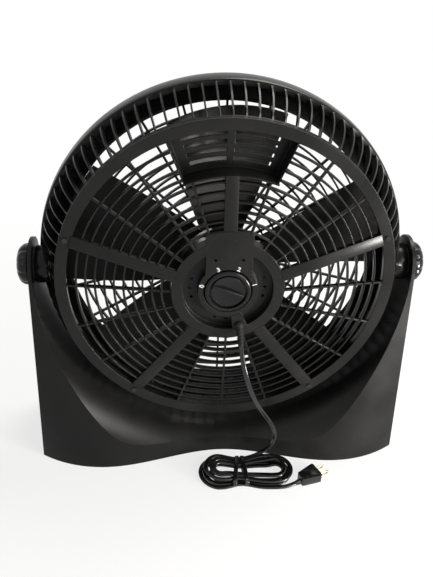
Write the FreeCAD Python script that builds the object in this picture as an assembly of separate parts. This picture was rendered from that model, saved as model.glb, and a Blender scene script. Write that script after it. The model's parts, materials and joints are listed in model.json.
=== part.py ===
"""Floor fan with a tilting head in a saddle stand: one STEP file per piece, in millimetres.

The part stands on Z = 0 with +Z up. Air blows along +Y, and the speed knob is on the -Y side.
Head pieces are built about the tilt axis, with the drum's own axis along Y, and then lifted to it.
"""
import math
import os

import FreeCAD
import Part

V = FreeCAD.Vector
X_AXIS = V(1, 0, 0)
Y_AXIS = V(0, 1, 0)
Z_AXIS = V(0, 0, 1)

# Driving dimensions of the blade
BLADE_COUNT = 5
BLADE_RADIUS = 222.0
BLADE_HUB_RADIUS = 44.0
BLADE_HUB_BACK_Y = -4.0
BLADE_HUB_FRONT_Y = 24.0
BLADE_THICKNESS = 2.6
BLADE_ROOT_CHORD = 62.0
BLADE_TIP_CHORD = 168.0
BLADE_ROOT_PITCH = 34.0
BLADE_TIP_PITCH = 12.0
BLADE_CAMBER = 0.05
BLADE_CENTRE_Y = 4.0
BLADE_ROOT_SINK = 4.0
BLADE_TIP_TRIM = 4.0
BLADE_SECTIONS = 4
BLADE_CHORD_POWER = 0.8
BLADE_MOTOR_GAP = 4.0
BLADE_NUT_RADIUS = 11.0
BLADE_NUT_LENGTH = 6.0

# Driving dimensions of the drum, which is sized round the blade
RIM_CLEARANCE = 33.0
RING_CLEARANCE = 5.0
RIM_RADIUS = BLADE_RADIUS + RIM_CLEARANCE
RING_OUTER = BLADE_RADIUS + RING_CLEARANCE
RIM_BAND = 9.0
RIM_BULGE = 1.5
RIM_BACK_Y = 10.0
RIM_FRONT_Y = 40.0
RING_WIDTH = 15.5
RING_BACK_Y = -60.0
RING_DEPTH = 8.0
RING_SCREW_RADIUS = 1.8
RING_SCREW_HEAD = 3.4
RING_SCREW_HEAD_DEPTH = 1.8
RING_SCREW_LENGTH = 10.0
FLANGE_DEPTH = 5.0
FLANGE_WIDTH = 14.0
FIN_COUNT = 90
FIN_THICKNESS = 2.2
FIN_DEPTH = 7.0
FIN_BOW = 5.0
FIN_RIM_COVER = 1.5
BOSS_RADIUS = 26.0

# Driving dimensions of the stand, which is sized round the drum
SWING_CLEARANCE = 1.8
TROUGH_RADIUS = math.hypot(RIM_RADIUS, RIM_FRONT_Y) + SWING_CLEARANCE
TROUGH_FLOOR = 36.0
PIVOT_Z = round(TROUGH_RADIUS + TROUGH_FLOOR)
ARM_INNER_X = TROUGH_RADIUS
ARM_THICKNESS = 5.0
ARM_SPREAD = 3.1
ARM_END_RADIUS = 38.0
CORNER_Y = 69.0
TOE_X = 150.0
TOE_Y = 97.0
WAIST_Y = 68.0
FLARE_START_Y = 32.0
FLARE_RADIUS = 65.0
STAND_WALL = 3.0
ARM_CORE_BELOW_PIVOT = 62.0
FOOT_RADIUS = 9.0
FOOT_HEIGHT = 5.0
FOOT_RECESS = 3.0
FOOT_PAD_RADIUS = 12.0

# Driving dimensions of the rear grille
HUB_RADIUS = 75.0
HUB_FACE_Y = -78.0
HUB_PLATE = 3.0
HUB_SKIRT = 17.0
HUB_LAND = 15.0
RECESS_DEPTH = 11.0
BRIDGE_WIDTH = 61.0
VENT_RADIUS = 1.9
VENT_STEP = 16.5
VENT_LOW_ANGLES = (251.0, 270.0)
SIGHT_HOLE_RADIUS = 1.9
SIGHT_HOLE_X = 17.8
SIGHT_HOLE_Z = 46.7
REAR_RING_COUNT = 10
REAR_RIB_COUNT = 20
SPOKE_EVERY = 4
BAR_WIDTH = 2.6
RIB_WIDTH = 3.0
SPOKE_WIDTH = 17.0
BAR_DEPTH = 7.0
RIB_INSET = 0.6
TOP_ANGLE = 90.0
POCKET_HALF_ANGLE = 22.0
POCKET_HEIGHT = 54.0
POCKET_DEPTH = 26.0
POCKET_WALL = 2.4
POCKET_SLOT_ROWS = 4
POCKET_SLOT_HEIGHT = 5.0
POCKET_SLOT_MARGIN = 3.0

# Driving dimensions of the front grille
CAP_RADIUS = 46.0
FRONT_RING_COUNT = 11
FRONT_RIB_COUNT = 24
FRONT_FACE_Y = 37.5
FRONT_BAR_DEPTH = 5.0
FRONT_EDGE_WIDTH = 6.0
CAP_DEPTH = 4.0

# Driving dimensions of the motor, from the rear cup to the blade
MOTOR_RADIUS = 62.0
MOTOR_BACK_Y = -50.0
MOTOR_SPLIT_Y = -30.0
MOTOR_FRONT_Y = -10.0
MOTOR_WALL = 2.5
SHAFT_RADIUS = 5.0
SHAFT_FRONT_Y = 27.0
BEARING_RADIUS = 11.0
BEARING_LENGTH = 9.0
STATOR_INNER = 34.0
STATOR_LENGTH = 16.0
WINDING_LENGTH = 7.0
WINDING_INSET = 5.0
AIR_GAP = 0.6
RUNNING_CLEARANCE = 0.05
MOTOR_SCREW_RADIUS = 2.2
MOTOR_SCREW_COUNT = 4
MOTOR_SCREW_INSET = 12.0
MOTOR_SCREW_GRIP = 9.0
POST_RADIUS = 5.5
CAPACITOR_LENGTH = 34.0
CAPACITOR_HEIGHT = 17.0

# Driving dimensions of the controls
SPEED_KNOB_RADIUS = 31.0
SPEED_KNOB_DEPTH = 14.0
SPEED_KNOB_GAP = 0.8
SPEED_KNOB_RIM = 7.5
SPEED_KNOB_DISH = 5.0
SPEED_GRIP_WIDTH = 9.0
SPEED_REST_ANGLE = 158.0
WELL_GAP = 1.2
WELL_DEPTH = 12.0
DIAL_LAND = 7.8
SWITCH_RADIUS = 17.0
SWITCH_DEPTH = 11.0
SWITCH_BUSH_RADIUS = 5.0
SWITCH_BUSH_LENGTH = 7.0
SWITCH_NUT_RADIUS = 8.0
SWITCH_NUT_DEPTH = 2.5
SWITCH_SHAFT_RADIUS = 3.0
SHAFT_END_GAP = 1.0
NUT_ROOM = 2.0
TILT_KNOB_RADIUS = 29.0
TILT_KNOB_DEPTH = 18.0
TILT_KNOB_FLUTES = 10
TILT_FLUTE_RADIUS = 5.5
TILT_FLUTE_OFFSET = 3.0
TILT_COLLAR_RADIUS = 20.0
TILT_COLLAR = 2.0
STUD_RADIUS = 4.0
STUD_LENGTH = 28.0
STUD_CLEARANCE = 1.0
WASHER_RADIUS = 24.0
WASHER_THICKNESS = 2.0
WASHER_SEAT_GAP = 0.4
INSERT_RADIUS = 7.0
INSERT_LENGTH = 16.0
SEAT_CLEARANCE = 2.0

# Driving dimensions of the mains lead
CORD_DIAMETER = 6.0
CORD_EXIT_X = 17.0
CORD_EXIT_Z = -53.0
BOOT_LENGTH = 30.0
BOOT_BASE_RADIUS = 5.5
BOOT_TIP_RADIUS = 3.8
BOOT_DIRECTION = V(0.05, -0.75, -0.66)
GLAND_PROUD = 1.0
GLAND_HALF_ANGLE = 10.0
HANK_CENTRE = V(38.0, -118.0, 0.0)
HANK_RUN = 76.0
HANK_HALF_WIDTH = 28.0
HANK_PITCH = 6.8
HANK_LAYER_STEP = 6.6
HANK_TURNS_PER_LAYER = 5
HANK_FLOOR_GAP = 0.2
HANK_START_X = 38.0
HANK_ENTRY_RUN = 15.0
BOOT_EXIT_RUN = 18.0
TIE_OFFSET_X = -12.0
TIE_GAP = 0.5
TIE_THICKNESS = 2.0
TIE_WIDTH = 5.0
TIE_SPACING = 14.0
LEAD_STRAIGHT = 6.0
LEAD_ARC_RADIUS = 40.0
LEAD_TURN = 25.0
PLUG_LENGTH = 40.0
PLUG_WIDTH = 27.0
PLUG_HEIGHT = 14.0
PLUG_NOSE = 9.0
PLUG_NOSE_RADIUS = 5.0
PLUG_SHOULDER = 15.0
BEND_SHARE = 0.45
PRONG_LENGTH = 16.0
PRONG_SPACING = 12.7
PRONG_WIDTH = 6.3
PRONG_THICKNESS = 1.6
PRONG_SEAT = 6.0

# Sizes worked out from the ones above
BOSS_FACE_X = ARM_INNER_X - WASHER_THICKNESS - WASHER_SEAT_GAP
WELL_RADIUS = SPEED_KNOB_RADIUS + WELL_GAP
WELL_FLOOR_Y = HUB_FACE_Y + WELL_DEPTH
MOTOR_SCREW_CIRCLE = MOTOR_RADIUS - MOTOR_SCREW_INSET
RECESS_OUTER = HUB_RADIUS - HUB_LAND
RECESS_INNER = WELL_RADIUS + DIAL_LAND
RECESS_FLOOR_Y = HUB_FACE_Y + RECESS_DEPTH
RECESS_MIDDLE = (RECESS_INNER + RECESS_OUTER) / 2
RING_INNER = RING_OUTER - RING_WIDTH
POCKET_INNER = RING_INNER - POCKET_HEIGHT
GLAND_FACE_Y = HUB_FACE_Y - GLAND_PROUD

# The lead's free drop, from the boot's tip to the first run of the hank
CORD_DROP_MIDDLE = [
    V(24.0, -121.5, 191.0),
    V(31.0, -123.5, 168.0),
    V(40.0, -121.0, 144.0),
    V(51.0, -115.5, 121.0),
    V(63.0, -109.0, 99.0),
    V(73.0, -102.5, 77.0),
    V(78.0, -97.0, 56.0),
    V(76.5, -93.0, 37.0),
    V(68.0, -90.8, 21.0),
]


def tube(r_in, r_out, y0, y1):
    """Plain ring about the drum axis."""
    outer = Part.makeCylinder(r_out, y1 - y0, V(0, y0, 0), Y_AXIS)
    return outer.cut(Part.makeCylinder(r_in, y1 - y0, V(0, y0, 0), Y_AXIS))


def rod_y(radius, y0, y1, x=0.0, z=0.0):
    return Part.makeCylinder(radius, y1 - y0, V(x, y0, z), Y_AXIS)


def rod_x(radius, x0, x1):
    return Part.makeCylinder(radius, x1 - x0, V(x0, 0, 0), X_AXIS)


def lathe(points, angle=360.0, start=0.0):
    """Solid turned about the drum axis from a closed outline of (radius, y) points."""
    wire = Part.makePolygon([V(r, y, 0) for r, y in points + points[:1]])
    solid = Part.Face(wire).revolve(V(0, 0, 0), Y_AXIS, -angle)
    solid.rotate(V(0, 0, 0), Y_AXIS, -start)
    return solid


def turned(shape, degrees):
    """Copy turned about the drum axis, anticlockwise as seen from the control side."""
    copy = shape.copy()
    copy.rotate(V(0, 0, 0), Y_AXIS, -degrees)
    return copy


def polar(radius, degrees, y=0.0):
    return V(radius * math.cos(math.radians(degrees)), y, radius * math.sin(math.radians(degrees)))


def mirrored_x(shape):
    return shape.mirror(V(0, 0, 0), X_AXIS)


def on_pivot(shape):
    """Lift a head piece from the tilt axis at the origin to its height on the stand."""
    copy = shape.copy()
    copy.translate(V(0, 0, PIVOT_Z))
    return copy


def group(shapes):
    return Part.makeCompound(shapes)


# Stand

def stand_outline(inset, z):
    """Footprint with two toes and a drawn-in waist on each long side."""
    x = ARM_INNER_X + ARM_THICKNESS + ARM_SPREAD - inset
    corner = CORNER_Y - inset
    toe = TOE_Y - inset
    waist = WAIST_Y - inset
    places = [(-x, corner), (-TOE_X, toe), (0, waist), (TOE_X, toe), (x, corner)]
    back = Part.BSplineCurve()
    back.interpolate([V(px, -py, z) for px, py in places])
    front = Part.BSplineCurve()
    front.interpolate([V(px, py, z) for px, py in reversed(places)])
    right = Part.LineSegment(V(x, -corner, z), V(x, corner, z))
    left = Part.LineSegment(V(-x, corner, z), V(-x, -corner, z))
    return Part.Wire([back.toShape(), right.toShape(), front.toShape(), left.toShape()])


def arm_outline(inset, z):
    """Outline that the footprint narrows to at the tilt axis."""
    x = ARM_INNER_X + ARM_THICKNESS - inset
    y = ARM_END_RADIUS - inset
    points = [V(-x, -y, z), V(x, -y, z), V(x, y, z), V(-x, y, z)]
    edges = [Part.LineSegment(a, b).toShape() for a, b in zip(points, points[1:] + points[:1])]
    return Part.Wire(edges)


def trough(grow):
    """Horn about the drum axis that clears the drum and flares to both sides of the stand."""
    r0 = TROUGH_RADIUS + grow
    flare = FLARE_RADIUS - grow
    reach = TOE_Y + FLARE_RADIUS
    swing = math.radians(45.0)
    end_y = FLARE_START_Y + flare
    arc_front = Part.Arc(
        V(r0, FLARE_START_Y, 0),
        V(r0 + flare * (1 - math.cos(swing)), FLARE_START_Y + flare * math.sin(swing), 0),
        V(r0 + flare, end_y, 0),
    )
    arc_back = Part.Arc(
        V(r0 + flare, -end_y, 0),
        V(r0 + flare * (1 - math.cos(swing)), -FLARE_START_Y - flare * math.sin(swing), 0),
        V(r0, -FLARE_START_Y, 0),
    )
    lines = [
        Part.LineSegment(V(r0 + flare, end_y, 0), V(r0 + flare, reach, 0)),
        Part.LineSegment(V(r0 + flare, reach, 0), V(0, reach, 0)),
        Part.LineSegment(V(0, reach, 0), V(0, -reach, 0)),
        Part.LineSegment(V(0, -reach, 0), V(r0 + flare, -reach, 0)),
        Part.LineSegment(V(r0 + flare, -reach, 0), V(r0 + flare, -end_y, 0)),
        Part.LineSegment(V(r0, -FLARE_START_Y, 0), V(r0, FLARE_START_Y, 0)),
    ]
    order = [arc_front] + lines[:5] + [arc_back, lines[5]]
    wire = Part.Wire([edge.toShape() for edge in order])
    horn = Part.Face(wire).revolve(V(0, 0, 0), Y_AXIS, 360.0)
    horn.translate(V(0, 0, PIVOT_Z))
    return horn


def foot_places():
    foot_x = TOE_X
    foot_y = WAIST_Y
    return [(sx * foot_x, sy * foot_y) for sx in (-1, 1) for sy in (-1, 1)]


def make_stand():
    stand_bottom = FOOT_HEIGHT - FOOT_RECESS
    body = Part.makeLoft([stand_outline(0.0, stand_bottom), arm_outline(0.0, PIVOT_Z)], True, True)
    arm_x = ARM_INNER_X + ARM_THICKNESS
    width = 2 * arm_x
    body = body.fuse(rod_x(ARM_END_RADIUS, -arm_x, arm_x).translate(V(0, 0, PIVOT_Z)))
    gap = Part.makeBox(2 * ARM_INNER_X, 4 * TOE_Y, PIVOT_Z, V(-ARM_INNER_X, -2 * TOE_Y, PIVOT_Z))
    body = body.cut([trough(0.0), gap])
    core_top = PIVOT_Z - ARM_CORE_BELOW_PIVOT
    inner_outlines = [stand_outline(STAND_WALL, stand_bottom), arm_outline(STAND_WALL, PIVOT_Z)]
    cavity = Part.makeLoft(inner_outlines, True, True)
    lid = Part.makeBox(2 * width, 4 * TOE_Y, PIVOT_Z, V(-width, -2 * TOE_Y, core_top))
    cavity = cavity.cut([trough(STAND_WALL), lid])
    body = body.cut(cavity)
    pads = []
    for x, y in foot_places():
        pad = Part.makeCylinder(FOOT_PAD_RADIUS, PIVOT_Z, V(x, y, stand_bottom))
        pads.append(pad.cut(trough(STAND_WALL / 2)))
    body = body.fuse(pads)
    holes = []
    for x, y in foot_places():
        holes.append(Part.makeCylinder(FOOT_RADIUS, FOOT_RECESS, V(x, y, stand_bottom)))
    axle = rod_x(STUD_RADIUS + STUD_CLEARANCE, -width, width)
    knob_seat = rod_x(TILT_COLLAR_RADIUS + SEAT_CLEARANCE, arm_x, width)
    washer_seat = rod_x(WASHER_RADIUS + SEAT_CLEARANCE, -ARM_INNER_X, ARM_INNER_X)
    holes += [on_pivot(cut) for cut in (axle, washer_seat, knob_seat, mirrored_x(knob_seat))]
    return body.cut(holes).removeSplitter()


def make_feet():
    return group([Part.makeCylinder(FOOT_RADIUS, FOOT_HEIGHT, V(x, y, 0)) for x, y in foot_places()])


# Drum

def fin_outline():
    """Bowed strip from the rear flange to the front rim, in the plane through the drum axis."""
    back_r = RING_OUTER
    back_y = RING_BACK_Y + RING_DEPTH + FLANGE_DEPTH / 2
    front_r = RIM_RADIUS - RIM_BULGE - FIN_RIM_COVER
    front_y = RIM_BACK_Y + RIM_BAND
    mid = V((back_r + front_r) / 2 + FIN_BOW, (back_y + front_y) / 2 - FIN_BOW, 0)
    outer = Part.Arc(V(back_r, back_y, 0), mid, V(front_r, front_y, 0))
    inner = Part.Arc(
        V(front_r - FIN_DEPTH, front_y, 0), mid - V(FIN_DEPTH, 0, 0), V(back_r - FIN_DEPTH, back_y, 0)
    )
    front = Part.LineSegment(V(front_r, front_y, 0), V(front_r - FIN_DEPTH, front_y, 0))
    back = Part.LineSegment(V(back_r - FIN_DEPTH, back_y, 0), V(back_r, back_y, 0))
    return Part.Wire([outer.toShape(), front.toShape(), inner.toShape(), back.toShape()])


def rim_band():
    """Rolled front rim with a rounded outer edge."""
    r0 = RIM_RADIUS - RIM_BAND
    half = (RIM_FRONT_Y - RIM_BACK_Y) / 2
    edge_r = RIM_RADIUS - RIM_BULGE
    arc = Part.Arc(
        V(edge_r, RIM_BACK_Y, 0), V(RIM_RADIUS, RIM_BACK_Y + half, 0), V(edge_r, RIM_FRONT_Y, 0)
    )
    places = [(edge_r, RIM_FRONT_Y), (r0, RIM_FRONT_Y), (r0, RIM_BACK_Y), (edge_r, RIM_BACK_Y)]
    corners = [V(r, y, 0) for r, y in places]
    lines = [Part.LineSegment(a, b).toShape() for a, b in zip(corners, corners[1:])]
    wire = Part.Wire([arc.toShape()] + lines)
    return Part.Face(wire).revolve(V(0, 0, 0), Y_AXIS, 360.0)


def make_shroud():
    flange_y = RING_BACK_Y + RING_DEPTH
    flange = tube(RING_OUTER - FLANGE_WIDTH, RING_OUTER, flange_y, flange_y + FLANGE_DEPTH)
    blade = Part.Face(fin_outline()).extrude(V(0, 0, FIN_THICKNESS))
    blade.translate(V(0, 0, -FIN_THICKNESS / 2))
    fins = [turned(blade, (i + 0.5) * 360.0 / FIN_COUNT) for i in range(FIN_COUNT)]
    boss = rod_x(BOSS_RADIUS, RING_OUTER - FLANGE_WIDTH, BOSS_FACE_X)
    inner_r = RIM_RADIUS - RIM_BAND - FIN_DEPTH
    boss = boss.cut(rod_y(inner_r, -RIM_RADIUS, RIM_RADIUS))
    drill = rod_x(INSERT_RADIUS, BOSS_FACE_X - INSERT_LENGTH, RIM_RADIUS * 2)
    bosses = [boss, mirrored_x(boss)]
    shroud = rim_band().fuse([flange] + fins + bosses)
    shroud = shroud.cut([drill, mirrored_x(drill)])
    return shroud


def make_insert():
    x0 = BOSS_FACE_X - INSERT_LENGTH
    bore = rod_x(STUD_RADIUS + RUNNING_CLEARANCE, x0, RIM_RADIUS * 2)
    return rod_x(INSERT_RADIUS, x0, BOSS_FACE_X).cut(bore)


# Rear grille

def cone_y(radius):
    """Back face of the shallow cone from the hub to the rear ring."""
    share = (radius - HUB_RADIUS) / (RING_INNER - HUB_RADIUS)
    return HUB_FACE_Y + share * (RING_BACK_Y - HUB_FACE_Y)


def sloped_bar(r0, r1, width, inset):
    """Radial bar that follows the cone, as deep as the rings less an inset on each face."""
    corners = [
        V(r0, cone_y(r0) + inset, 0),
        V(r1, cone_y(r1) + inset, 0),
        V(r1, cone_y(r1) + BAR_DEPTH - inset, 0),
        V(r0, cone_y(r0) + BAR_DEPTH - inset, 0),
    ]
    bar = Part.Face(Part.makePolygon(corners + corners[:1])).extrude(V(0, 0, width))
    bar.translate(V(0, 0, -width / 2))
    return bar


def cone_ring(radius):
    y = cone_y(radius)
    return tube(radius - BAR_WIDTH / 2, radius + BAR_WIDTH / 2, y, y + BAR_DEPTH)


def band(half_width, top, y0, y1):
    """Upright strip above the drum axis, as wide as the bridge over the recess."""
    return Part.makeBox(2 * half_width, y1 - y0, top, V(-half_width, y0, 0))


def crescent(grow, floor_y):
    """Ring-shaped room of the recess, cut off square at both sides of the bridge."""
    ring = tube(RECESS_INNER - grow, RECESS_OUTER + grow, HUB_FACE_Y, floor_y)
    return ring.cut(band(BRIDGE_WIDTH / 2 - grow, HUB_RADIUS, HUB_FACE_Y, floor_y))


def hub_dish():
    """Hub disc with its crescent recess and the knob's well, open in front where the motor sits."""
    plate = rod_y(HUB_RADIUS, HUB_FACE_Y, HUB_FACE_Y + HUB_SKIRT)
    hollow = rod_y(HUB_RADIUS - HUB_PLATE, HUB_FACE_Y + HUB_PLATE, HUB_FACE_Y + HUB_SKIRT)
    tray = crescent(HUB_PLATE, RECESS_FLOOR_Y + HUB_PLATE)
    cup = rod_y(WELL_RADIUS + HUB_PLATE, HUB_FACE_Y, WELL_FLOOR_Y + HUB_PLATE)
    well = rod_y(WELL_RADIUS, HUB_FACE_Y, WELL_FLOOR_Y)
    return plate.cut(hollow).fuse([tray, cup]).cut([crescent(0.0, RECESS_FLOOR_Y), well])


def gland_block():
    """Block across the recess that carries the strain relief, a little proud of the hub face."""
    centre = math.degrees(math.atan2(CORD_EXIT_Z, CORD_EXIT_X))
    inner = RECESS_INNER - HUB_PLATE / 2
    outer = RECESS_OUTER + HUB_PLATE / 2
    back = RECESS_FLOOR_Y + HUB_PLATE / 2
    outline = [(inner, GLAND_FACE_Y), (outer, GLAND_FACE_Y), (outer, back), (inner, back)]
    return lathe(outline, 2 * GLAND_HALF_ANGLE, centre - GLAND_HALF_ANGLE)


def hub_holes():
    """Vent holes in the floor of the recess and the two sight holes on the bridge."""
    angles = [side + VENT_STEP * i for side in (0.0, 180.0) for i in (-1, 0, 1)]
    places = [polar(RECESS_MIDDLE, angle) for angle in angles + list(VENT_LOW_ANGLES)]
    holes = [rod_y(VENT_RADIUS, RECESS_FLOOR_Y - HUB_PLATE, 0.0, p.x, p.z) for p in places]
    for x in (-SIGHT_HOLE_X, SIGHT_HOLE_X):
        holes.append(rod_y(SIGHT_HOLE_RADIUS, 2 * HUB_FACE_Y, HUB_FACE_Y + HUB_PLATE, x, SIGHT_HOLE_Z))
    return holes


def motor_screw_places():
    step = 360.0 / MOTOR_SCREW_COUNT
    return [polar(MOTOR_SCREW_CIRCLE, (i + 0.5) * step) for i in range(MOTOR_SCREW_COUNT)]


def pocket_walls():
    """Carry-handle pocket under the top of the rear ring: sides, shelf and slotted back wall."""
    low = TOP_ANGLE - POCKET_HALF_ANGLE
    sweep = 2 * POCKET_HALF_ANGLE
    top = RING_OUTER - FLANGE_WIDTH
    back = RING_BACK_Y + POCKET_DEPTH
    side_start = POCKET_INNER - POCKET_WALL / 2
    side_back = RING_BACK_Y + RIB_INSET
    corner = V(side_start, side_back, -POCKET_WALL / 2)
    side = Part.makeBox(top - side_start, back - side_back, POCKET_WALL, corner)
    sides = [turned(side, low), turned(side, low + sweep)]
    under = POCKET_INNER - POCKET_WALL
    lip = cone_y(POCKET_INNER)
    shelf = lathe([(under, lip), (POCKET_INNER, lip), (POCKET_INNER, back), (under, back)], sweep, low)
    face = back - POCKET_WALL
    plate = lathe([(under, face), (top, face), (top, back), (under, back)], sweep, low)
    slots = []
    pitch = (top - POCKET_INNER) / (POCKET_SLOT_ROWS + 1)
    span = POCKET_HALF_ANGLE - 2 * POCKET_SLOT_MARGIN
    for row in range(POCKET_SLOT_ROWS):
        r0 = POCKET_INNER + pitch * (row + 1) - POCKET_SLOT_HEIGHT / 2
        r1 = r0 + POCKET_SLOT_HEIGHT
        y0 = face - POCKET_WALL
        y1 = back + POCKET_WALL
        outline = [(r0, y0), (r1, y0), (r1, y1), (r0, y1)]
        for first in (TOP_ANGLE - POCKET_SLOT_MARGIN / 2 - span, TOP_ANGLE + POCKET_SLOT_MARGIN / 2):
            slots.append(lathe(outline, span, first))
    return sides + [shelf, plate.cut(slots)]


def grille_web(pitch):
    """Rings, ribs and spokes on the shallow cone, with the room of the pocket taken out."""
    rings = [cone_ring(HUB_RADIUS + pitch * (i + 1)) for i in range(REAR_RING_COUNT)]
    start = HUB_RADIUS - HUB_PLATE / 2
    bars = []
    for i in range(REAR_RIB_COUNT):
        width = SPOKE_WIDTH if i % SPOKE_EVERY == 0 else RIB_WIDTH
        bar = sloped_bar(start, RING_INNER + RING_WIDTH / 4, width, RIB_INSET)
        bars.append(turned(bar, TOP_ANGLE + i * 360.0 / REAR_RIB_COUNT))
    web = rings[0].fuse(rings[1:] + bars).cut(rod_y(start, 2 * HUB_FACE_Y, 0.0))
    reach = RING_INNER + RING_WIDTH / 2
    outline = [(POCKET_INNER, HUB_FACE_Y), (reach, HUB_FACE_Y), (reach, 0.0), (POCKET_INNER, 0.0)]
    return web.cut(lathe(outline, 2 * POCKET_HALF_ANGLE, TOP_ANGLE - POCKET_HALF_ANGLE))


def make_rear_grille():
    pitch = (RING_INNER - HUB_RADIUS) / (REAR_RING_COUNT + 1)
    tab = band(BRIDGE_WIDTH / 2, HUB_RADIUS + pitch, HUB_FACE_Y, HUB_FACE_Y + HUB_PLATE)
    tab = tab.cut(rod_y(HUB_RADIUS - HUB_PLATE, 2 * HUB_FACE_Y, 0.0))
    tab = tab.common(rod_y(HUB_RADIUS + pitch, 2 * HUB_FACE_Y, 0.0))
    ring = tube(RING_INNER, RING_OUTER, RING_BACK_Y, RING_BACK_Y + RING_DEPTH)
    finger_room = tube(RING_OUTER - FLANGE_WIDTH, RING_OUTER * 2, RING_BACK_Y + RING_DEPTH, 0.0)
    walls = [wall.cut(finger_room) for wall in pocket_walls()]
    posts = []
    holes = hub_holes()
    for place in motor_screw_places():
        posts.append(rod_y(POST_RADIUS, RECESS_FLOOR_Y + HUB_PLATE / 2, MOTOR_BACK_Y, place.x, place.z))
        start = MOTOR_BACK_Y - MOTOR_SCREW_GRIP
        holes.append(rod_y(MOTOR_SCREW_RADIUS, start, MOTOR_BACK_Y, place.x, place.z))
    holes.append(rod_y(SWITCH_BUSH_RADIUS, 2 * HUB_FACE_Y, 0.0))
    holes.append(rod_y(BOOT_BASE_RADIUS, 2 * HUB_FACE_Y, 0.0, CORD_EXIT_X, CORD_EXIT_Z))
    for angle in ring_screw_angles():
        place = polar(RING_INNER + RING_WIDTH / 2, angle)
        holes.append(rod_y(RING_SCREW_RADIUS, 2 * RING_BACK_Y, 0.0, place.x, place.z))
    solids = [ring, grille_web(pitch), tab, gland_block()]
    return hub_dish().fuse(solids + walls + posts).cut(holes)


# Ring screws

def ring_screw_angles():
    """One screw at the ring end of each wide spoke but the top one, which ends at the pocket."""
    step = 360.0 / REAR_RIB_COUNT * SPOKE_EVERY
    return [TOP_ANGLE + step * i for i in range(1, REAR_RIB_COUNT // SPOKE_EVERY)]


def make_ring_screws():
    screws = []
    for angle in ring_screw_angles():
        place = polar(RING_INNER + RING_WIDTH / 2, angle)
        head = rod_y(RING_SCREW_HEAD, RING_BACK_Y - RING_SCREW_HEAD_DEPTH, RING_BACK_Y, place.x, place.z)
        shank = rod_y(RING_SCREW_RADIUS, RING_BACK_Y, RING_BACK_Y + RING_SCREW_LENGTH, place.x, place.z)
        screws.append(head.fuse(shank))
    return group(screws)


def shroud_screw_holes():
    holes = []
    for angle in ring_screw_angles():
        place = polar(RING_INNER + RING_WIDTH / 2, angle)
        holes.append(rod_y(RING_SCREW_RADIUS, RING_BACK_Y, 0.0, place.x, place.z))
    return holes


# Front grille

def make_front_grille():
    outer = RIM_RADIUS - RIM_BAND
    back = FRONT_FACE_Y - FRONT_BAR_DEPTH
    pitch = (outer - FRONT_EDGE_WIDTH - CAP_RADIUS) / FRONT_RING_COUNT
    half = BAR_WIDTH / 2
    middles = [CAP_RADIUS + pitch * i for i in range(1, FRONT_RING_COUNT)]
    rings = [tube(middle - half, middle + half, back, FRONT_FACE_Y) for middle in middles]
    edge = tube(outer - FRONT_EDGE_WIDTH, outer, back, FRONT_FACE_Y)
    start = CAP_RADIUS - BAR_WIDTH
    length = outer - FRONT_EDGE_WIDTH / 2 - start
    corner = V(start, back + RIB_INSET, -RIB_WIDTH / 2)
    rib = Part.makeBox(length, FRONT_BAR_DEPTH - 2 * RIB_INSET, RIB_WIDTH, corner)
    ribs = [turned(rib, i * 360.0 / FRONT_RIB_COUNT) for i in range(FRONT_RIB_COUNT)]
    cap = rod_y(CAP_RADIUS, FRONT_FACE_Y - CAP_DEPTH, FRONT_FACE_Y)
    return cap.fuse([edge] + rings + ribs)


# Motor

def make_motor_rear():
    cup = rod_y(MOTOR_RADIUS, MOTOR_BACK_Y, MOTOR_SPLIT_Y)
    cup = cup.cut(rod_y(MOTOR_RADIUS - MOTOR_WALL, MOTOR_BACK_Y + MOTOR_WALL, MOTOR_SPLIT_Y))
    seat = rod_y(BEARING_RADIUS + MOTOR_WALL, MOTOR_BACK_Y, MOTOR_BACK_Y + BEARING_LENGTH)
    cup = cup.fuse(seat).cut(rod_y(BEARING_RADIUS, MOTOR_BACK_Y, MOTOR_SPLIT_Y))
    holes = []
    for place in motor_screw_places():
        holes.append(rod_y(MOTOR_SCREW_RADIUS, MOTOR_BACK_Y, MOTOR_BACK_Y + MOTOR_WALL, place.x, place.z))
    return cup.cut(holes)


def make_motor_front():
    cup = rod_y(MOTOR_RADIUS, MOTOR_SPLIT_Y, MOTOR_FRONT_Y)
    cup = cup.cut(rod_y(MOTOR_RADIUS - MOTOR_WALL, MOTOR_SPLIT_Y, MOTOR_FRONT_Y - MOTOR_WALL))
    seat = rod_y(BEARING_RADIUS + MOTOR_WALL, MOTOR_FRONT_Y - BEARING_LENGTH, MOTOR_FRONT_Y)
    return cup.fuse(seat).cut(rod_y(BEARING_RADIUS, MOTOR_SPLIT_Y, MOTOR_FRONT_Y))


def make_bearing(y0):
    return tube(SHAFT_RADIUS + RUNNING_CLEARANCE, BEARING_RADIUS, y0, y0 + BEARING_LENGTH)


def stator_span():
    middle = (MOTOR_BACK_Y + MOTOR_FRONT_Y) / 2
    return middle - STATOR_LENGTH / 2, middle + STATOR_LENGTH / 2


def make_stator():
    y0, y1 = stator_span()
    return tube(STATOR_INNER, MOTOR_RADIUS - MOTOR_WALL, y0, y1)


def make_windings():
    y0, y1 = stator_span()
    r0 = STATOR_INNER + WINDING_INSET
    r1 = MOTOR_RADIUS - MOTOR_WALL - WINDING_INSET
    return group([tube(r0, r1, y0 - WINDING_LENGTH, y0), tube(r0, r1, y1, y1 + WINDING_LENGTH)])


def make_rotor():
    y0, y1 = stator_span()
    return tube(SHAFT_RADIUS, STATOR_INNER - AIR_GAP, y0, y1)


def make_shaft():
    return rod_y(SHAFT_RADIUS, MOTOR_BACK_Y + MOTOR_WALL / 2, SHAFT_FRONT_Y)


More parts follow.
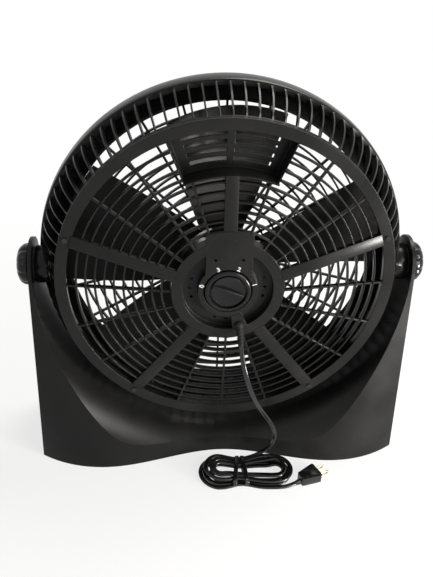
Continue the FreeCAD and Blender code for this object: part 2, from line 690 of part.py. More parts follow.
def make_motor_screws():
    """Screws from inside the rear shell into the hub's posts."""
    screws = []
    for place in motor_screw_places():
        seat = MOTOR_BACK_Y + MOTOR_WALL
        shank = rod_y(MOTOR_SCREW_RADIUS, MOTOR_BACK_Y - MOTOR_SCREW_GRIP, seat, place.x, place.z)
        head = rod_y(2 * MOTOR_SCREW_RADIUS, seat, seat + MOTOR_SCREW_RADIUS, place.x, place.z)
        screws.append(head.fuse(shank))
    return group(screws)


def make_capacitor():
    """Flat run capacitor between the switch's cup and the motor, below the switch."""
    y0 = WELL_FLOOR_Y + HUB_PLATE
    top = -SWITCH_RADIUS - HUB_PLATE
    corner = V(-CAPACITOR_LENGTH / 2, y0, top - CAPACITOR_HEIGHT)
    return Part.makeBox(CAPACITOR_LENGTH, MOTOR_BACK_Y - y0, CAPACITOR_HEIGHT, corner)


# Blade

def blade_section(radius, chord, pitch):
    """Thin cambered section on a plane square to the blade's radius."""
    half = chord / 2
    lift = chord * BLADE_CAMBER
    points = []
    for side in (0.0, BLADE_THICKNESS):
        points.append([V(radius, side, -half), V(radius, side + lift, 0), V(radius, side, half)])
    low = Part.Arc(*points[0])
    high = Part.Arc(*reversed(points[1]))
    tip = Part.LineSegment(points[0][2], points[1][2])
    tail = Part.LineSegment(points[1][0], points[0][0])
    wire = Part.Wire([low.toShape(), tip.toShape(), high.toShape(), tail.toShape()])
    wire.rotate(V(0, 0, 0), X_AXIS, pitch)
    wire.translate(V(0, BLADE_CENTRE_Y - lift, 0))
    return wire


def make_blade():
    root = BLADE_HUB_RADIUS - BLADE_ROOT_SINK
    sections = []
    for i in range(BLADE_SECTIONS):
        share = i / (BLADE_SECTIONS - 1)
        radius = root + share * (BLADE_RADIUS + BLADE_TIP_TRIM - root)
        chord = BLADE_ROOT_CHORD + share ** BLADE_CHORD_POWER * (BLADE_TIP_CHORD - BLADE_ROOT_CHORD)
        pitch = BLADE_ROOT_PITCH + share * (BLADE_TIP_PITCH - BLADE_ROOT_PITCH)
        sections.append(blade_section(radius, chord, pitch))
    vane = Part.makeLoft(sections, True)
    vane = vane.common(rod_y(BLADE_RADIUS, -BLADE_RADIUS, BLADE_RADIUS))
    vanes = [turned(vane, TOP_ANGLE + i * 360.0 / BLADE_COUNT) for i in range(BLADE_COUNT)]
    hub = rod_y(BLADE_HUB_RADIUS, BLADE_HUB_BACK_Y, BLADE_HUB_FRONT_Y)
    wall = BLADE_THICKNESS
    hollow = tube(SHAFT_RADIUS * 2, BLADE_HUB_RADIUS - wall, BLADE_HUB_BACK_Y, BLADE_HUB_FRONT_Y - wall)
    web = rod_y(BLADE_HUB_RADIUS - wall, -BLADE_RADIUS, BLADE_RADIUS)
    motor_room = rod_y(MOTOR_RADIUS + BLADE_MOTOR_GAP, MOTOR_BACK_Y, MOTOR_FRONT_Y + BLADE_MOTOR_GAP)
    vanes = [vane.cut([web, motor_room]) for vane in vanes]
    return hub.cut(hollow).fuse(vanes).cut(rod_y(SHAFT_RADIUS, -BLADE_RADIUS, BLADE_RADIUS))


def make_blade_nut():
    start = BLADE_HUB_FRONT_Y
    dome = rod_y(BLADE_NUT_RADIUS, start, start + BLADE_NUT_LENGTH)
    dome = dome.makeFillet(BLADE_NUT_LENGTH / 2, [dome.Edges[0]])
    return dome.cut(rod_y(SHAFT_RADIUS, start, SHAFT_FRONT_Y))


# Controls

def speed_knob_span():
    back = WELL_FLOOR_Y - SPEED_KNOB_GAP
    return back - SPEED_KNOB_DEPTH, back


def make_speed_knob():
    """Round knob in the hub's well, with a raised lip, a dished face and a grip bar across it."""
    face, back = speed_knob_span()
    body = rod_y(SPEED_KNOB_RADIUS, face, back)
    dish = rod_y(SPEED_KNOB_RADIUS - SPEED_KNOB_RIM, face, face + SPEED_KNOB_DISH)
    length = 2 * SPEED_KNOB_RADIUS - SPEED_KNOB_RIM
    corner = V(-length / 2, face, -SPEED_GRIP_WIDTH / 2)
    grip = Part.makeBox(length, SPEED_KNOB_DISH, SPEED_GRIP_WIDTH, corner)
    body = body.cut(dish).fuse(turned(grip, SPEED_REST_ANGLE))
    nut_room_y = WELL_FLOOR_Y - SWITCH_BUSH_LENGTH + HUB_PLATE - NUT_ROOM
    cavity = rod_y(SWITCH_NUT_RADIUS + NUT_ROOM, nut_room_y, back)
    bore = rod_y(SWITCH_SHAFT_RADIUS, face + SPEED_KNOB_DISH + SHAFT_END_GAP, back)
    return body.cut([cavity, bore]).removeSplitter()


def make_switch_body():
    y0 = WELL_FLOOR_Y + HUB_PLATE
    body = rod_y(SWITCH_RADIUS, y0, y0 + SWITCH_DEPTH)
    bush = rod_y(SWITCH_BUSH_RADIUS, y0 - SWITCH_BUSH_LENGTH, y0)
    bore = rod_y(SWITCH_SHAFT_RADIUS + RUNNING_CLEARANCE, y0 - SWITCH_BUSH_LENGTH, y0 + SWITCH_DEPTH / 2)
    return body.fuse(bush).cut(bore)


def make_switch_nut():
    front = WELL_FLOOR_Y - SWITCH_NUT_DEPTH
    hexagon = [polar(SWITCH_NUT_RADIUS, 60.0 * i, front) for i in range(6)]
    nut = Part.Face(Part.makePolygon(hexagon + hexagon[:1])).extrude(V(0, SWITCH_NUT_DEPTH, 0))
    return nut.cut(rod_y(SWITCH_BUSH_RADIUS, front, WELL_FLOOR_Y))


def make_switch_shaft():
    start = speed_knob_span()[0] + SPEED_KNOB_DISH + SHAFT_END_GAP
    return rod_y(SWITCH_SHAFT_RADIUS, start, WELL_FLOOR_Y + HUB_PLATE + SWITCH_DEPTH / 2 - SHAFT_END_GAP)


def tilt_knob_start():
    return ARM_INNER_X + ARM_THICKNESS


def make_tilt_knob():
    """Fluted hand knob on a collar, moulded round the stud's head."""
    x0 = tilt_knob_start()
    x1 = x0 + TILT_COLLAR
    collar = rod_x(TILT_COLLAR_RADIUS, x0, x1)
    knob = rod_x(TILT_KNOB_RADIUS, x1, x0 + TILT_KNOB_DEPTH)
    flute = rod_x(TILT_FLUTE_RADIUS, x1, x0 + TILT_KNOB_DEPTH)
    flute.translate(V(0, TILT_KNOB_RADIUS + TILT_FLUTE_OFFSET, 0))
    cuts = []
    for i in range(TILT_KNOB_FLUTES):
        cut = flute.copy()
        cut.rotate(V(0, 0, 0), X_AXIS, i * 360.0 / TILT_KNOB_FLUTES)
        cuts.append(cut)
    bore = rod_x(STUD_RADIUS, x0, x0 + TILT_KNOB_DEPTH / 2)
    return knob.cut(cuts).fuse(collar).cut(bore)


def make_tilt_stud():
    end = tilt_knob_start() + TILT_KNOB_DEPTH / 2
    return rod_x(STUD_RADIUS, end - STUD_LENGTH, end)


def make_washer():
    disc = rod_x(WASHER_RADIUS, ARM_INNER_X - WASHER_THICKNESS, ARM_INNER_X)
    return disc.cut(rod_x(STUD_RADIUS + STUD_CLEARANCE, 0.0, ARM_INNER_X * 2))


# Mains lead

def boot_start():
    return V(CORD_EXIT_X, GLAND_FACE_Y, CORD_EXIT_Z)


def boot_axis():
    axis = V(BOOT_DIRECTION)
    axis.normalize()
    return axis


def make_strain_relief():
    """Grommet in the gland block with a tapered boot outside."""
    start = boot_start()
    cone = Part.makeCone(BOOT_BASE_RADIUS, BOOT_TIP_RADIUS, BOOT_LENGTH, start, boot_axis())
    plug = rod_y(BOOT_BASE_RADIUS, start.y, start.y + HUB_PLATE, start.x, start.z)
    ball = Part.makeSphere(BOOT_BASE_RADIUS, start)
    room = 4 * BOOT_BASE_RADIUS
    behind = Part.makeBox(room, BOOT_LENGTH, room, start - V(room / 2, 0, room / 2))
    return cone.fuse(ball).cut(behind).fuse(plug)


def rounded_path(points, label):
    """Straight runs joined by tangent arcs, each as large as its two runs allow."""
    edges = []
    radii = []
    last = points[0]
    for before, corner, after in zip(points, points[1:], points[2:]):
        run_in = before - corner
        run_out = after - corner
        shorter = min(run_in.Length, run_out.Length)
        a = V(run_in)
        a.normalize()
        b = V(run_out)
        b.normalize()
        half_turn = (math.pi - a.getAngle(b)) / 2
        back = BEND_SHARE * shorter
        radius = back / math.tan(half_turn)
        radii.append(radius)
        middle = a + b
        middle.normalize()
        reach = radius / math.cos(half_turn) - radius
        p0 = corner + a * back
        p1 = corner + b * back
        edges.append(Part.LineSegment(last, p0).toShape())
        edges.append(Part.Arc(p0, corner + middle * reach, p1).toShape())
        last = p1
    edges.append(Part.LineSegment(last, points[-1]).toShape())
    print(label, "bend radii", [round(r) for r in radii])
    return Part.Wire(edges)


def swept_tube(path, radius, label):
    """Round tube along a path, with its volume compared with section times length."""
    first = path.OrderedEdges[0]
    start = first.valueAt(first.FirstParameter)
    heading = first.tangentAt(first.FirstParameter)
    ring = Part.Wire(Part.makeCircle(radius, start, heading))
    solid = path.makePipeShell([ring], True, False)
    ratio = solid.Volume / (math.pi * radius ** 2 * path.Length)
    print(label, "length", round(path.Length), "volume ratio", round(ratio, 4), solid.isValid())
    return solid


def hank_runs():
    """Side offsets of the hank's runs: inwards on the upper layer, then outwards on the lower."""
    step = HANK_PITCH / 2
    inward = [HANK_HALF_WIDTH - step * i for i in range(HANK_TURNS_PER_LAYER + 1)]
    outward = [inward[-1] + step * (i + 1) for i in range(HANK_TURNS_PER_LAYER + 1)]
    return inward, outward


def hank_levels():
    low = CORD_DIAMETER / 2 + HANK_FLOOR_GAP
    return low + HANK_LAYER_STEP, low


def hank_path():
    """One unbroken line: flattened loops that spiral in, step down a layer and spiral out."""
    inward, outward = hank_runs()
    top, low = hank_levels()
    offsets = inward + outward
    climb = len(inward) - 1
    edges = []
    x_end = HANK_RUN / 2
    start = V(HANK_START_X - HANK_CENTRE.x, offsets[0], top)
    side = -1
    here = start
    for i, offset in enumerate(offsets):
        z = top if i <= climb else low
        sign = 1 if i % 2 == 0 else -1
        y = sign * offset
        z_end = low if i == climb else z
        there = V(side * x_end, y, z_end)
        if i == climb:
            middle = (here + there) * 0.5
            drop = (here.z - there.z) / 2
            half = abs(there.x - here.x) / 2
            bend = (half ** 2 + drop ** 2) / (2 * drop)
            swing = math.asin(half / bend) / 2
            for a, b, down in ((here, middle, 1), (there, middle, -1)):
                way = 1 if b.x > a.x else -1
                via = V(a.x + way * bend * math.sin(swing), y, a.z - down * bend * (1 - math.cos(swing)))
                pair = (a, via, b) if down == 1 else (b, via, a)
                edges.append(Part.Arc(*pair).toShape())
        else:
            edges.append(Part.LineSegment(here, there).toShape())
        if i + 1 < len(offsets):
            next_y = -sign * offsets[i + 1]
            centre_y = (y + next_y) / 2
            turn_r = abs(y - next_y) / 2
            z_next = there.z
            via = V(there.x + side * turn_r, centre_y, z_next)
            here = V(there.x, next_y, z_next)
            edges.append(Part.Arc(there, via, here).toShape())
            side = -side
        else:
            here = there
    lead_turn = math.radians(LEAD_TURN)
    straight = here + V(LEAD_STRAIGHT * side, 0, 0)
    edges.append(Part.LineSegment(here, straight).toShape())
    half = lead_turn / 2
    bends = []
    for swing in (half, lead_turn):
        bends.append(V(side * math.sin(swing), 1 - math.cos(swing), 0) * LEAD_ARC_RADIUS)
    after = straight + bends[1]
    edges.append(Part.Arc(straight, straight + bends[0], after).toShape())
    heading = V(side * math.cos(lead_turn), math.sin(lead_turn), 0)
    end = after + heading * CORD_DIAMETER
    edges.append(Part.LineSegment(after, end).toShape())
    wire = Part.Wire(edges)
    wire.translate(HANK_CENTRE)
    return wire, start + HANK_CENTRE, end + HANK_CENTRE, heading


def least_self_gap(path, diameter):
    """Least clear gap between stretches of a path that are not neighbours, on points along it."""
    spacing = diameter / 2
    points = path.discretize(Distance=spacing)
    apart = int(4 * diameter / spacing)
    least = min(
        (points[i] - points[j]).Length
        for i in range(len(points))
        for j in range(i + apart, len(points))
    )
    return least - diameter


def make_cord_drop(hank_start):
    tip = boot_start() + boot_axis() * BOOT_LENGTH + V(0, 0, PIVOT_Z)
    leaving = tip + boot_axis() * BOOT_EXIT_RUN
    entering = hank_start + V(HANK_ENTRY_RUN, 0, 0)
    path = rounded_path([tip, leaving] + CORD_DROP_MIDDLE + [entering, hank_start], "cord_drop")
    return swept_tube(path, CORD_DIAMETER / 2, "cord_drop")


def make_cord_tie():
    """Two flat bands that hold the hank at its waist."""
    inward, outward = hank_runs()
    top, low = hank_levels()
    around = CORD_DIAMETER / 2 + TIE_GAP
    y0 = HANK_CENTRE.y - outward[-1] - around
    y1 = HANK_CENTRE.y + inward[0] + around
    z1 = top + around
    bands = []
    for x in (-TIE_SPACING / 2, TIE_SPACING / 2):
        x0 = HANK_CENTRE.x + TIE_OFFSET_X + x - TIE_WIDTH / 2
        outside = y1 - y0 + 2 * TIE_THICKNESS
        over = Part.makeBox(TIE_WIDTH, outside, z1 + TIE_THICKNESS, V(x0, y0 - TIE_THICKNESS, 0))
        hollow = Part.makeBox(TIE_WIDTH, y1 - y0, z1, V(x0, y0, 0))
        bands.append(round_top_edges(over).cut(round_top_edges(hollow)))
    return group(bands)


def round_top_edges(block):
    """Round the two upper edges that run along X."""
    top = block.BoundBox.ZMax
    upper = [edge for edge in block.Edges if edge.BoundBox.ZMin == top and edge.BoundBox.YLength == 0]
    return block.makeFillet(CORD_DIAMETER / 2, upper)


def plug_frame(shape, end, heading):
    """Lay a plug piece built along +X at the origin on the lead's end."""
    copy = shape.copy()
    copy.rotate(V(0, 0, 0), Z_AXIS, math.degrees(math.atan2(heading.y, heading.x)))
    copy.translate(V(end.x, end.y, 0))
    return copy


def make_plug_body(end, heading):
    """Flat two-blade plug with a wide face and a nose that takes the lead."""
    floor = HANK_FLOOR_GAP
    half = PLUG_WIDTH / 2
    shoulder = PLUG_SHOULDER / 2
    outline = [
        V(PLUG_NOSE, -shoulder, floor), V(PLUG_LENGTH, -half, floor),
        V(PLUG_LENGTH, half, floor), V(PLUG_NOSE, shoulder, floor),
    ]
    block = Part.Face(Part.makePolygon(outline + outline[:1])).extrude(V(0, 0, PLUG_HEIGHT - floor))
    upright = [edge for edge in block.Edges if edge.BoundBox.ZLength > PLUG_HEIGHT / 2]
    block = block.makeFillet(PLUG_HEIGHT / 5, upright)
    centre = V(0, 0, CORD_DIAMETER / 2 + HANK_FLOOR_GAP)
    nose = Part.makeCone(CORD_DIAMETER / 2, PLUG_NOSE_RADIUS, PLUG_NOSE + PLUG_HEIGHT / 4, centre, X_AXIS)
    corner = V(-PLUG_LENGTH / 2, -PLUG_WIDTH, floor - PLUG_HEIGHT)
    under = Part.makeBox(PLUG_LENGTH * 2, PLUG_WIDTH * 2, PLUG_HEIGHT, corner)
    slots = [prong_blank(side) for side in (-1, 1)]
    return plug_frame(block.fuse(nose.cut(under)).cut(slots), end, heading)


def prong_blank(side):
    """Blade stood on edge, seated in the plug's face."""
    z0 = (PLUG_HEIGHT - PRONG_WIDTH) / 2
    y0 = side * PRONG_SPACING / 2 - PRONG_THICKNESS / 2
    corner = V(PLUG_LENGTH - PRONG_SEAT, y0, z0)
    return Part.makeBox(PRONG_LENGTH + PRONG_SEAT, PRONG_THICKNESS, PRONG_WIDTH, corner)


def make_plug_prongs(end, heading):
    return group([plug_frame(prong_blank(side), end, heading) for side in (-1, 1)])


def build():
    hank_line, hank_start, hank_end, hank_heading = hank_path()
    print("cord_hank least self gap", round(least_self_gap(hank_line, CORD_DIAMETER), 2))
    shroud = make_shroud().cut(shroud_screw_holes())
    knob = make_tilt_knob()
    stud = make_tilt_stud()
    washer = make_washer()
    insert = make_insert()
    pieces = {
        "stand": make_stand(),
        "rubber_feet": make_feet(),
        "left_friction_washer": on_pivot(mirrored_x(washer)),
        "right_friction_washer": on_pivot(washer),
        "left_tilt_knob": on_pivot(mirrored_x(knob)),
        "right_tilt_knob": on_pivot(knob),
        "left_tilt_stud": on_pivot(mirrored_x(stud)),
        "right_tilt_stud": on_pivot(stud),
        "left_pivot_insert": on_pivot(mirrored_x(insert)),
        "right_pivot_insert": on_pivot(insert),
        "drum_shroud": on_pivot(shroud),
        "rear_grille": on_pivot(make_rear_grille()),
        "rear_ring_screws": on_pivot(make_ring_screws()),
        "front_grille": on_pivot(make_front_grille()),
        "motor_rear_housing": on_pivot(make_motor_rear()),
        "motor_front_housing": on_pivot(make_motor_front()),
        "rear_bearing": on_pivot(make_bearing(MOTOR_BACK_Y)),
        "front_bearing": on_pivot(make_bearing(MOTOR_FRONT_Y - BEARING_LENGTH)),
        "stator_core": on_pivot(make_stator()),
        "stator_windings": on_pivot(make_windings()),
        "motor_rotor": on_pivot(make_rotor()),
        "motor_shaft": on_pivot(make_shaft()),
        "motor_screws": on_pivot(make_motor_screws()),
        "run_capacitor": on_pivot(make_capacitor()),
        "fan_blade": on_pivot(make_blade()),
        "blade_nut": on_pivot(make_blade_nut()),
        "speed_knob": on_pivot(make_speed_knob()),
        "switch_body": on_pivot(make_switch_body()),
        "switch_nut": on_pivot(make_switch_nut()),
        "switch_shaft": on_pivot(make_switch_shaft()),
        "strain_relief": on_pivot(make_strain_relief()),
        "cord_drop": make_cord_drop(hank_start),
        "cord_hank": swept_tube(hank_line, CORD_DIAMETER / 2, "cord_hank"),
        "cord_tie": make_cord_tie(),
        "plug_body": make_plug_body(hank_end, hank_heading),
        "plug_prongs": make_plug_prongs(hank_end, hank_heading),
    }
    os.makedirs("parts", exist_ok=True)
    for name, shape in pieces.items():
        print(name, len(shape.Solids), "solids", len(shape.Faces), "faces", "valid", shape.isValid())
        shape.exportStep("parts/" + name + ".step")


build()
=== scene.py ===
# %% [markdown]
# # A floor fan, dressed for its portrait
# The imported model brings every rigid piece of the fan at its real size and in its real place.
# This lesson gives those pieces their finishes, models the lead and the pieces that a hand
# touches, rounds the mouldings and sets the light. Lengths are in metres and Z is up. The fan
# blows towards +Y, so the picture looks at its back.

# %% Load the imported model
import json
import math
import random

import bpy
from mathutils import Matrix, Vector


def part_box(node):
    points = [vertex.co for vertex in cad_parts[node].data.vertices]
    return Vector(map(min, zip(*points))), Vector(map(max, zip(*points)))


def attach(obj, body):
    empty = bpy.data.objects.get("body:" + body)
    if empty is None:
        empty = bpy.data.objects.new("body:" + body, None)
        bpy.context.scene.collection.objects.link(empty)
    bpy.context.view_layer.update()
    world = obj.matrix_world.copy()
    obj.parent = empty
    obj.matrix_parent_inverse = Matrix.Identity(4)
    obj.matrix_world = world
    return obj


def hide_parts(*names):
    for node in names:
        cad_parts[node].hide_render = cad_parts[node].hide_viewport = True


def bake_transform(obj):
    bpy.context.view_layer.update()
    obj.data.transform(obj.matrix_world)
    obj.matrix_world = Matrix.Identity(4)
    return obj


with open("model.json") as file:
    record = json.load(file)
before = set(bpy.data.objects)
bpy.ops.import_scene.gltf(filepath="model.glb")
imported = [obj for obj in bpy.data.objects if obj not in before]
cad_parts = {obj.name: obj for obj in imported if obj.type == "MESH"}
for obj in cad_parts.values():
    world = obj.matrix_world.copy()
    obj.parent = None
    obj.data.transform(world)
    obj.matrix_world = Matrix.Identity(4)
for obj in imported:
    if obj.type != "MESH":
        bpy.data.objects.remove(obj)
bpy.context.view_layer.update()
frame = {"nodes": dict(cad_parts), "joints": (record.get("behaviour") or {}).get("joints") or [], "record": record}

nodes = frame["nodes"]
PIVOT = Vector(next(j for j in frame["joints"] if j["name"] == "head_tilt")["pos_m"])
print("loaded", len(nodes), "pieces, tilt axis at", tuple(PIVOT))

# %% [markdown]
# ## The camera
# The picture is taken from behind the fan, a little to its left and well above it. A camera can
# be dragged into place, but a pose found that way is hard to correct later. Here it is described
# as a photographer would: where it aims, how far away it stands, how high and how far round it
# is, and how much it leans. Each of these can then be changed without the others.

# %% Camera
PICTURE_WIDTH_PX = 433.0
SENSOR_MM = 36.0
FOCAL_PX = 692.7
AIM = Vector((-0.0083, 0.0, 0.2526))
CAMERA_DISTANCE = 0.9981
CAMERA_AZIMUTH = math.radians(-5.2)
CAMERA_ELEVATION = math.radians(31.7)
CAMERA_ROLL = math.radians(2.1)


def camera_axes():
    """Right, up and backward directions of the camera, with its lean."""
    flat = math.cos(CAMERA_ELEVATION)
    sideways = math.sin(CAMERA_AZIMUTH) * flat
    lengthways = -math.cos(CAMERA_AZIMUTH) * flat
    backward = Vector((sideways, lengthways, math.sin(CAMERA_ELEVATION)))
    right = (-backward).cross(Vector((0, 0, 1))).normalized()
    up = right.cross(-backward)
    lean_right = right * math.cos(CAMERA_ROLL) + up * math.sin(CAMERA_ROLL)
    lean_up = up * math.cos(CAMERA_ROLL) - right * math.sin(CAMERA_ROLL)
    return lean_right, lean_up, backward


lens = bpy.data.cameras.new("camera")
lens.sensor_fit = "HORIZONTAL"
lens.sensor_width = SENSOR_MM
lens.lens = FOCAL_PX * SENSOR_MM / PICTURE_WIDTH_PX
camera = bpy.data.objects.new("camera", lens)
right, up, backward = camera_axes()
turn = Matrix((right, up, backward)).transposed().to_4x4()
camera.matrix_world = Matrix.Translation(AIM + backward * CAMERA_DISTANCE) @ turn
bpy.context.scene.collection.objects.link(camera)
bpy.context.scene.camera = camera
print("camera at", [round(c, 3) for c in camera.matrix_world.translation])

# %% [markdown]
# ## Shared surface effects
# Nearly every piece of this fan is black, so what tells the pieces apart is how each one
# scatters light. A moulded surface has a fine grain from its tool, its gloss drifts slowly from
# place to place, and dust settles in specks. Each material could have its own noise nodes. One
# node group with named inputs is easier to read, and each material places it at its own scale.

# %% Node group: sockets


def new_group(name, inputs, outputs):
    """Shader node group with float sockets, and its two end nodes."""
    group = bpy.data.node_groups.new(name, "ShaderNodeTree")
    for way, labels in (("INPUT", inputs), ("OUTPUT", outputs)):
        for label in labels:
            group.interface.new_socket(label, in_out=way, socket_type="NodeSocketFloat")
    return group, group.nodes.new("NodeGroupInput"), group.nodes.new("NodeGroupOutput")


grain, grain_in, grain_out = new_group(
    "moulded_grain", ["Grain Scale", "Rough Low", "Rough High"], ["Height", "Roughness", "Dust"],
)
print("group", grain.name, "has", len(grain.interface.items_tree), "sockets")

# %% [markdown]
# ## The noises of the grain
# Inside the group three noises read the piece's own coordinates: a fine one for the tool's grain,
# a slow one for the drift of gloss, and specks for the dust. A picture of dust could be wrapped
# round each piece, but it would show seams, and noise in space has none. Specks show only where
# the slow noise is high, so the dust lies in patches.

# %% Node group: noises
NOISE_LOW = 0.35
NOISE_HIGH = 0.65
FINE_DETAIL = 3.0
DRIFT_DETAIL = 2.0
DRIFT_SCALE = 14.0
FLECK_DETAIL = 4.0
FLECK_SCALE = 420.0


def noise(tree, coordinates, detail, scale=None):
    """3-D noise texture that reads the piece's own coordinates."""
    node = tree.nodes.new("ShaderNodeTexNoise")
    node.inputs["Detail"].default_value = detail
    if scale is not None:
        node.inputs["Scale"].default_value = scale
    tree.links.new(coordinates, node.inputs["Vector"])
    return node


def remap(tree, value, low, high):
    """Map the middle of a noise to low..high, which may be sockets or numbers."""
    node = tree.nodes.new("ShaderNodeMapRange")
    node.inputs["From Min"].default_value = NOISE_LOW
    node.inputs["From Max"].default_value = NOISE_HIGH
    tree.links.new(value, node.inputs["Value"])
    for label, end in (("To Min", low), ("To Max", high)):
        if isinstance(end, (int, float)):
            node.inputs[label].default_value = end
        else:
            tree.links.new(end, node.inputs[label])
    return node.outputs["Result"]


place = grain.nodes.new("ShaderNodeTexCoord").outputs["Object"]
fine = noise(grain, place, FINE_DETAIL)
grain.links.new(grain_in.outputs["Grain Scale"], fine.inputs["Scale"])
drift = noise(grain, place, DRIFT_DETAIL, DRIFT_SCALE).outputs["Fac"]
fleck = noise(grain, place, FLECK_DETAIL, FLECK_SCALE).outputs["Fac"]
rough = remap(grain, drift, grain_in.outputs["Rough Low"], grain_in.outputs["Rough High"])
dust = grain.nodes.new("ShaderNodeMath")
dust.operation = "MULTIPLY"
grain.links.new(remap(grain, drift, 0.0, 1.0), dust.inputs[0])
grain.links.new(remap(grain, fleck, 0.0, 1.0), dust.inputs[1])
grain.links.new(fine.outputs["Fac"], grain_out.inputs["Height"])
grain.links.new(rough, grain_out.inputs["Roughness"])
grain.links.new(dust.outputs["Value"], grain_out.inputs["Dust"])
print("group", grain.name, "has", len(grain.nodes), "nodes")

# %% [markdown]
# ## A recipe for mouldings
# All the plastics and the rubber are made in the same way, in a tool, and differ only in numbers.
# So one function makes them: the grain gives gloss and bump, and the dust mixes a paler colour
# into the clean one. The steps that metals share are a function of their own.

# %% Material recipes
# Sockets of a Mix node that mixes colours
MIX_FACTOR, MIX_A, MIX_B, MIX_RESULT = 0, 6, 7, 2
MOULD_BUMP = 0.0002


def grained(name, roughness, grain_scale, grain_height, bump_distance):
    """New material whose gloss and bump come from the grain, with its shader and its group."""
    material = bpy.data.materials.new(name)
    material.use_nodes = True
    tree = material.node_tree
    shader = tree.nodes["Principled BSDF"]
    surface = tree.nodes.new("ShaderNodeGroup")
    surface.node_tree = grain
    surface.inputs["Grain Scale"].default_value = grain_scale
    surface.inputs["Rough Low"].default_value = roughness[0]
    surface.inputs["Rough High"].default_value = roughness[1]
    tree.links.new(surface.outputs["Roughness"], shader.inputs["Roughness"])
    bump = tree.nodes.new("ShaderNodeBump")
    bump.inputs["Strength"].default_value = grain_height
    bump.inputs["Distance"].default_value = bump_distance
    tree.links.new(surface.outputs["Height"], bump.inputs["Height"])
    tree.links.new(bump.outputs["Normal"], shader.inputs["Normal"])
    return material, shader, surface


def moulding(name, clean, dusty, roughness, grain_scale, grain_height, specular):
    """Moulded material: dust mixed into the colour, drifting gloss and a fine bump."""
    material, shader, surface = grained(name, roughness, grain_scale, grain_height, MOULD_BUMP)
    shader.inputs["Specular IOR Level"].default_value = specular
    tree = material.node_tree
    colour = tree.nodes.new("ShaderNodeMix")
    colour.data_type = "RGBA"
    colour.inputs[MIX_A].default_value = (*clean, 1)
    colour.inputs[MIX_B].default_value = (*dusty, 1)
    tree.links.new(surface.outputs["Dust"], colour.inputs[MIX_FACTOR])
    tree.links.new(colour.outputs[MIX_RESULT], shader.inputs["Base Color"])
    return material

# %% [markdown]
# ## Moulded plastics
# The stand is a satin moulding with a fine spark-eroded grain, the grilles are smoother, and the
# knobs and the sheath of the lead are polished. One flat black would make them all alike. So
# each takes its own two blacks, one clean and one under a trace of dust, its own range of gloss
# and its own grain, and a table shows them side by side.

# %% Materials: plastics, rubber and sheath
STAND_BLACK = (0.0055, 0.0055, 0.0056)
STAND_DUSTY = (0.0095, 0.0095, 0.0092)
GRILLE_BLACK = (0.0052, 0.0052, 0.0052)
GRILLE_DUSTY = (0.0105, 0.0105, 0.0100)
KNOB_BLACK = (0.0045, 0.0045, 0.0048)
KNOB_DUSTY = (0.008, 0.008, 0.0083)
RUBBER_BLACK = (0.006, 0.006, 0.006)
RUBBER_DUSTY = (0.012, 0.012, 0.011)
# Each row: name, clean and dusty colour, roughness range, grain scale, grain height, specular
PLASTICS = {
    "stand_plastic": ("stand_satin_black", STAND_BLACK, STAND_DUSTY, (0.30, 0.38), 1400.0, 0.25, 0.14),
    "grille_plastic": ("grille_satin_black", GRILLE_BLACK, GRILLE_DUSTY, (0.26, 0.36), 1700.0, 0.18, 0.17),
    "blade_plastic": ("blade_black", GRILLE_BLACK, GRILLE_DUSTY, (0.30, 0.42), 1500.0, 0.15, 0.12),
    "knob_plastic": ("knob_polished_black", KNOB_BLACK, KNOB_DUSTY, (0.12, 0.2), 1900.0, 0.06, 0.22),
    "rubber": ("rubber_black", RUBBER_BLACK, RUBBER_DUSTY, (0.45, 0.6), 1100.0, 0.4, 0.2),
    "cord_sheath": ("cord_sheath_black", KNOB_BLACK, KNOB_DUSTY, (0.14, 0.22), 1300.0, 0.15, 0.5),
}
FINISHES = {slot: moulding(*row) for slot, row in PLASTICS.items()}
print("plastics:", ", ".join(FINISHES))

# %% [markdown]
# ## Metals
# Between the ribs the motor's pressed shell shows as bright metal. The shaft and studs are bare
# steel, the bearings, inserts and plug blades are brass, the screws are blackened and the
# windings are lacquered copper. A metal takes its colour from one even value and its character
# from its gloss, so here the group gives the gloss and a faint bump alone. Every CAD piece then
# gets the finish that its slot in the record names.

# %% Materials: metals
METAL_GRAIN = 0.1
METAL_BUMP = 0.0001


def metal(name, colour, metallic, roughness, grain_scale):
    """Metal of one colour with a fine grain in its gloss."""
    material, shader, _ = grained(name, roughness, grain_scale, METAL_GRAIN, METAL_BUMP)
    shader.inputs["Base Color"].default_value = (*colour, 1)
    shader.inputs["Metallic"].default_value = metallic
    return material


# Each row: name, colour, metallic share, roughness range, grain scale
METALS = {
    "motor_shell": ("motor_shell_bright", (0.50, 0.47, 0.42), 1.0, (0.24, 0.36), 700.0),
    "dark_screw": ("screw_black_oxide", (0.04, 0.04, 0.042), 0.9, (0.18, 0.28), 900.0),
    "steel": ("bare_steel", (0.55, 0.55, 0.56), 1.0, (0.22, 0.34), 800.0),
    "core_steel": ("core_laminations", (0.30, 0.30, 0.31), 0.9, (0.35, 0.5), 500.0),
    "brass": ("brass", (0.80, 0.70, 0.48), 1.0, (0.2, 0.32), 900.0),
    "winding_wire": ("lacquered_copper", (0.5, 0.2, 0.08), 0.8, (0.25, 0.38), 1200.0),
}
FINISHES.update({slot: metal(*row) for slot, row in METALS.items()})
for subpart in frame["record"]["subparts"]:
    piece = nodes[subpart["node"]]
    piece.data.materials.clear()
    piece.data.materials.append(FINISHES[subpart["material_slot"]])

# %% [markdown]
# ## The turns of the lead
# A flat twin lead leaves the boot under the speed knob, hangs down the back and lies tied in a
# hank on the floor. Every point of the hank could be set by hand, but its turns repeat, so a
# formula makes them: flattened loops that spiral in on the upper layer and out on the lower one.
# The tie draws them in at a waist. Beside it they swing and lift, and the last run ends in a
# short bend to the plug.

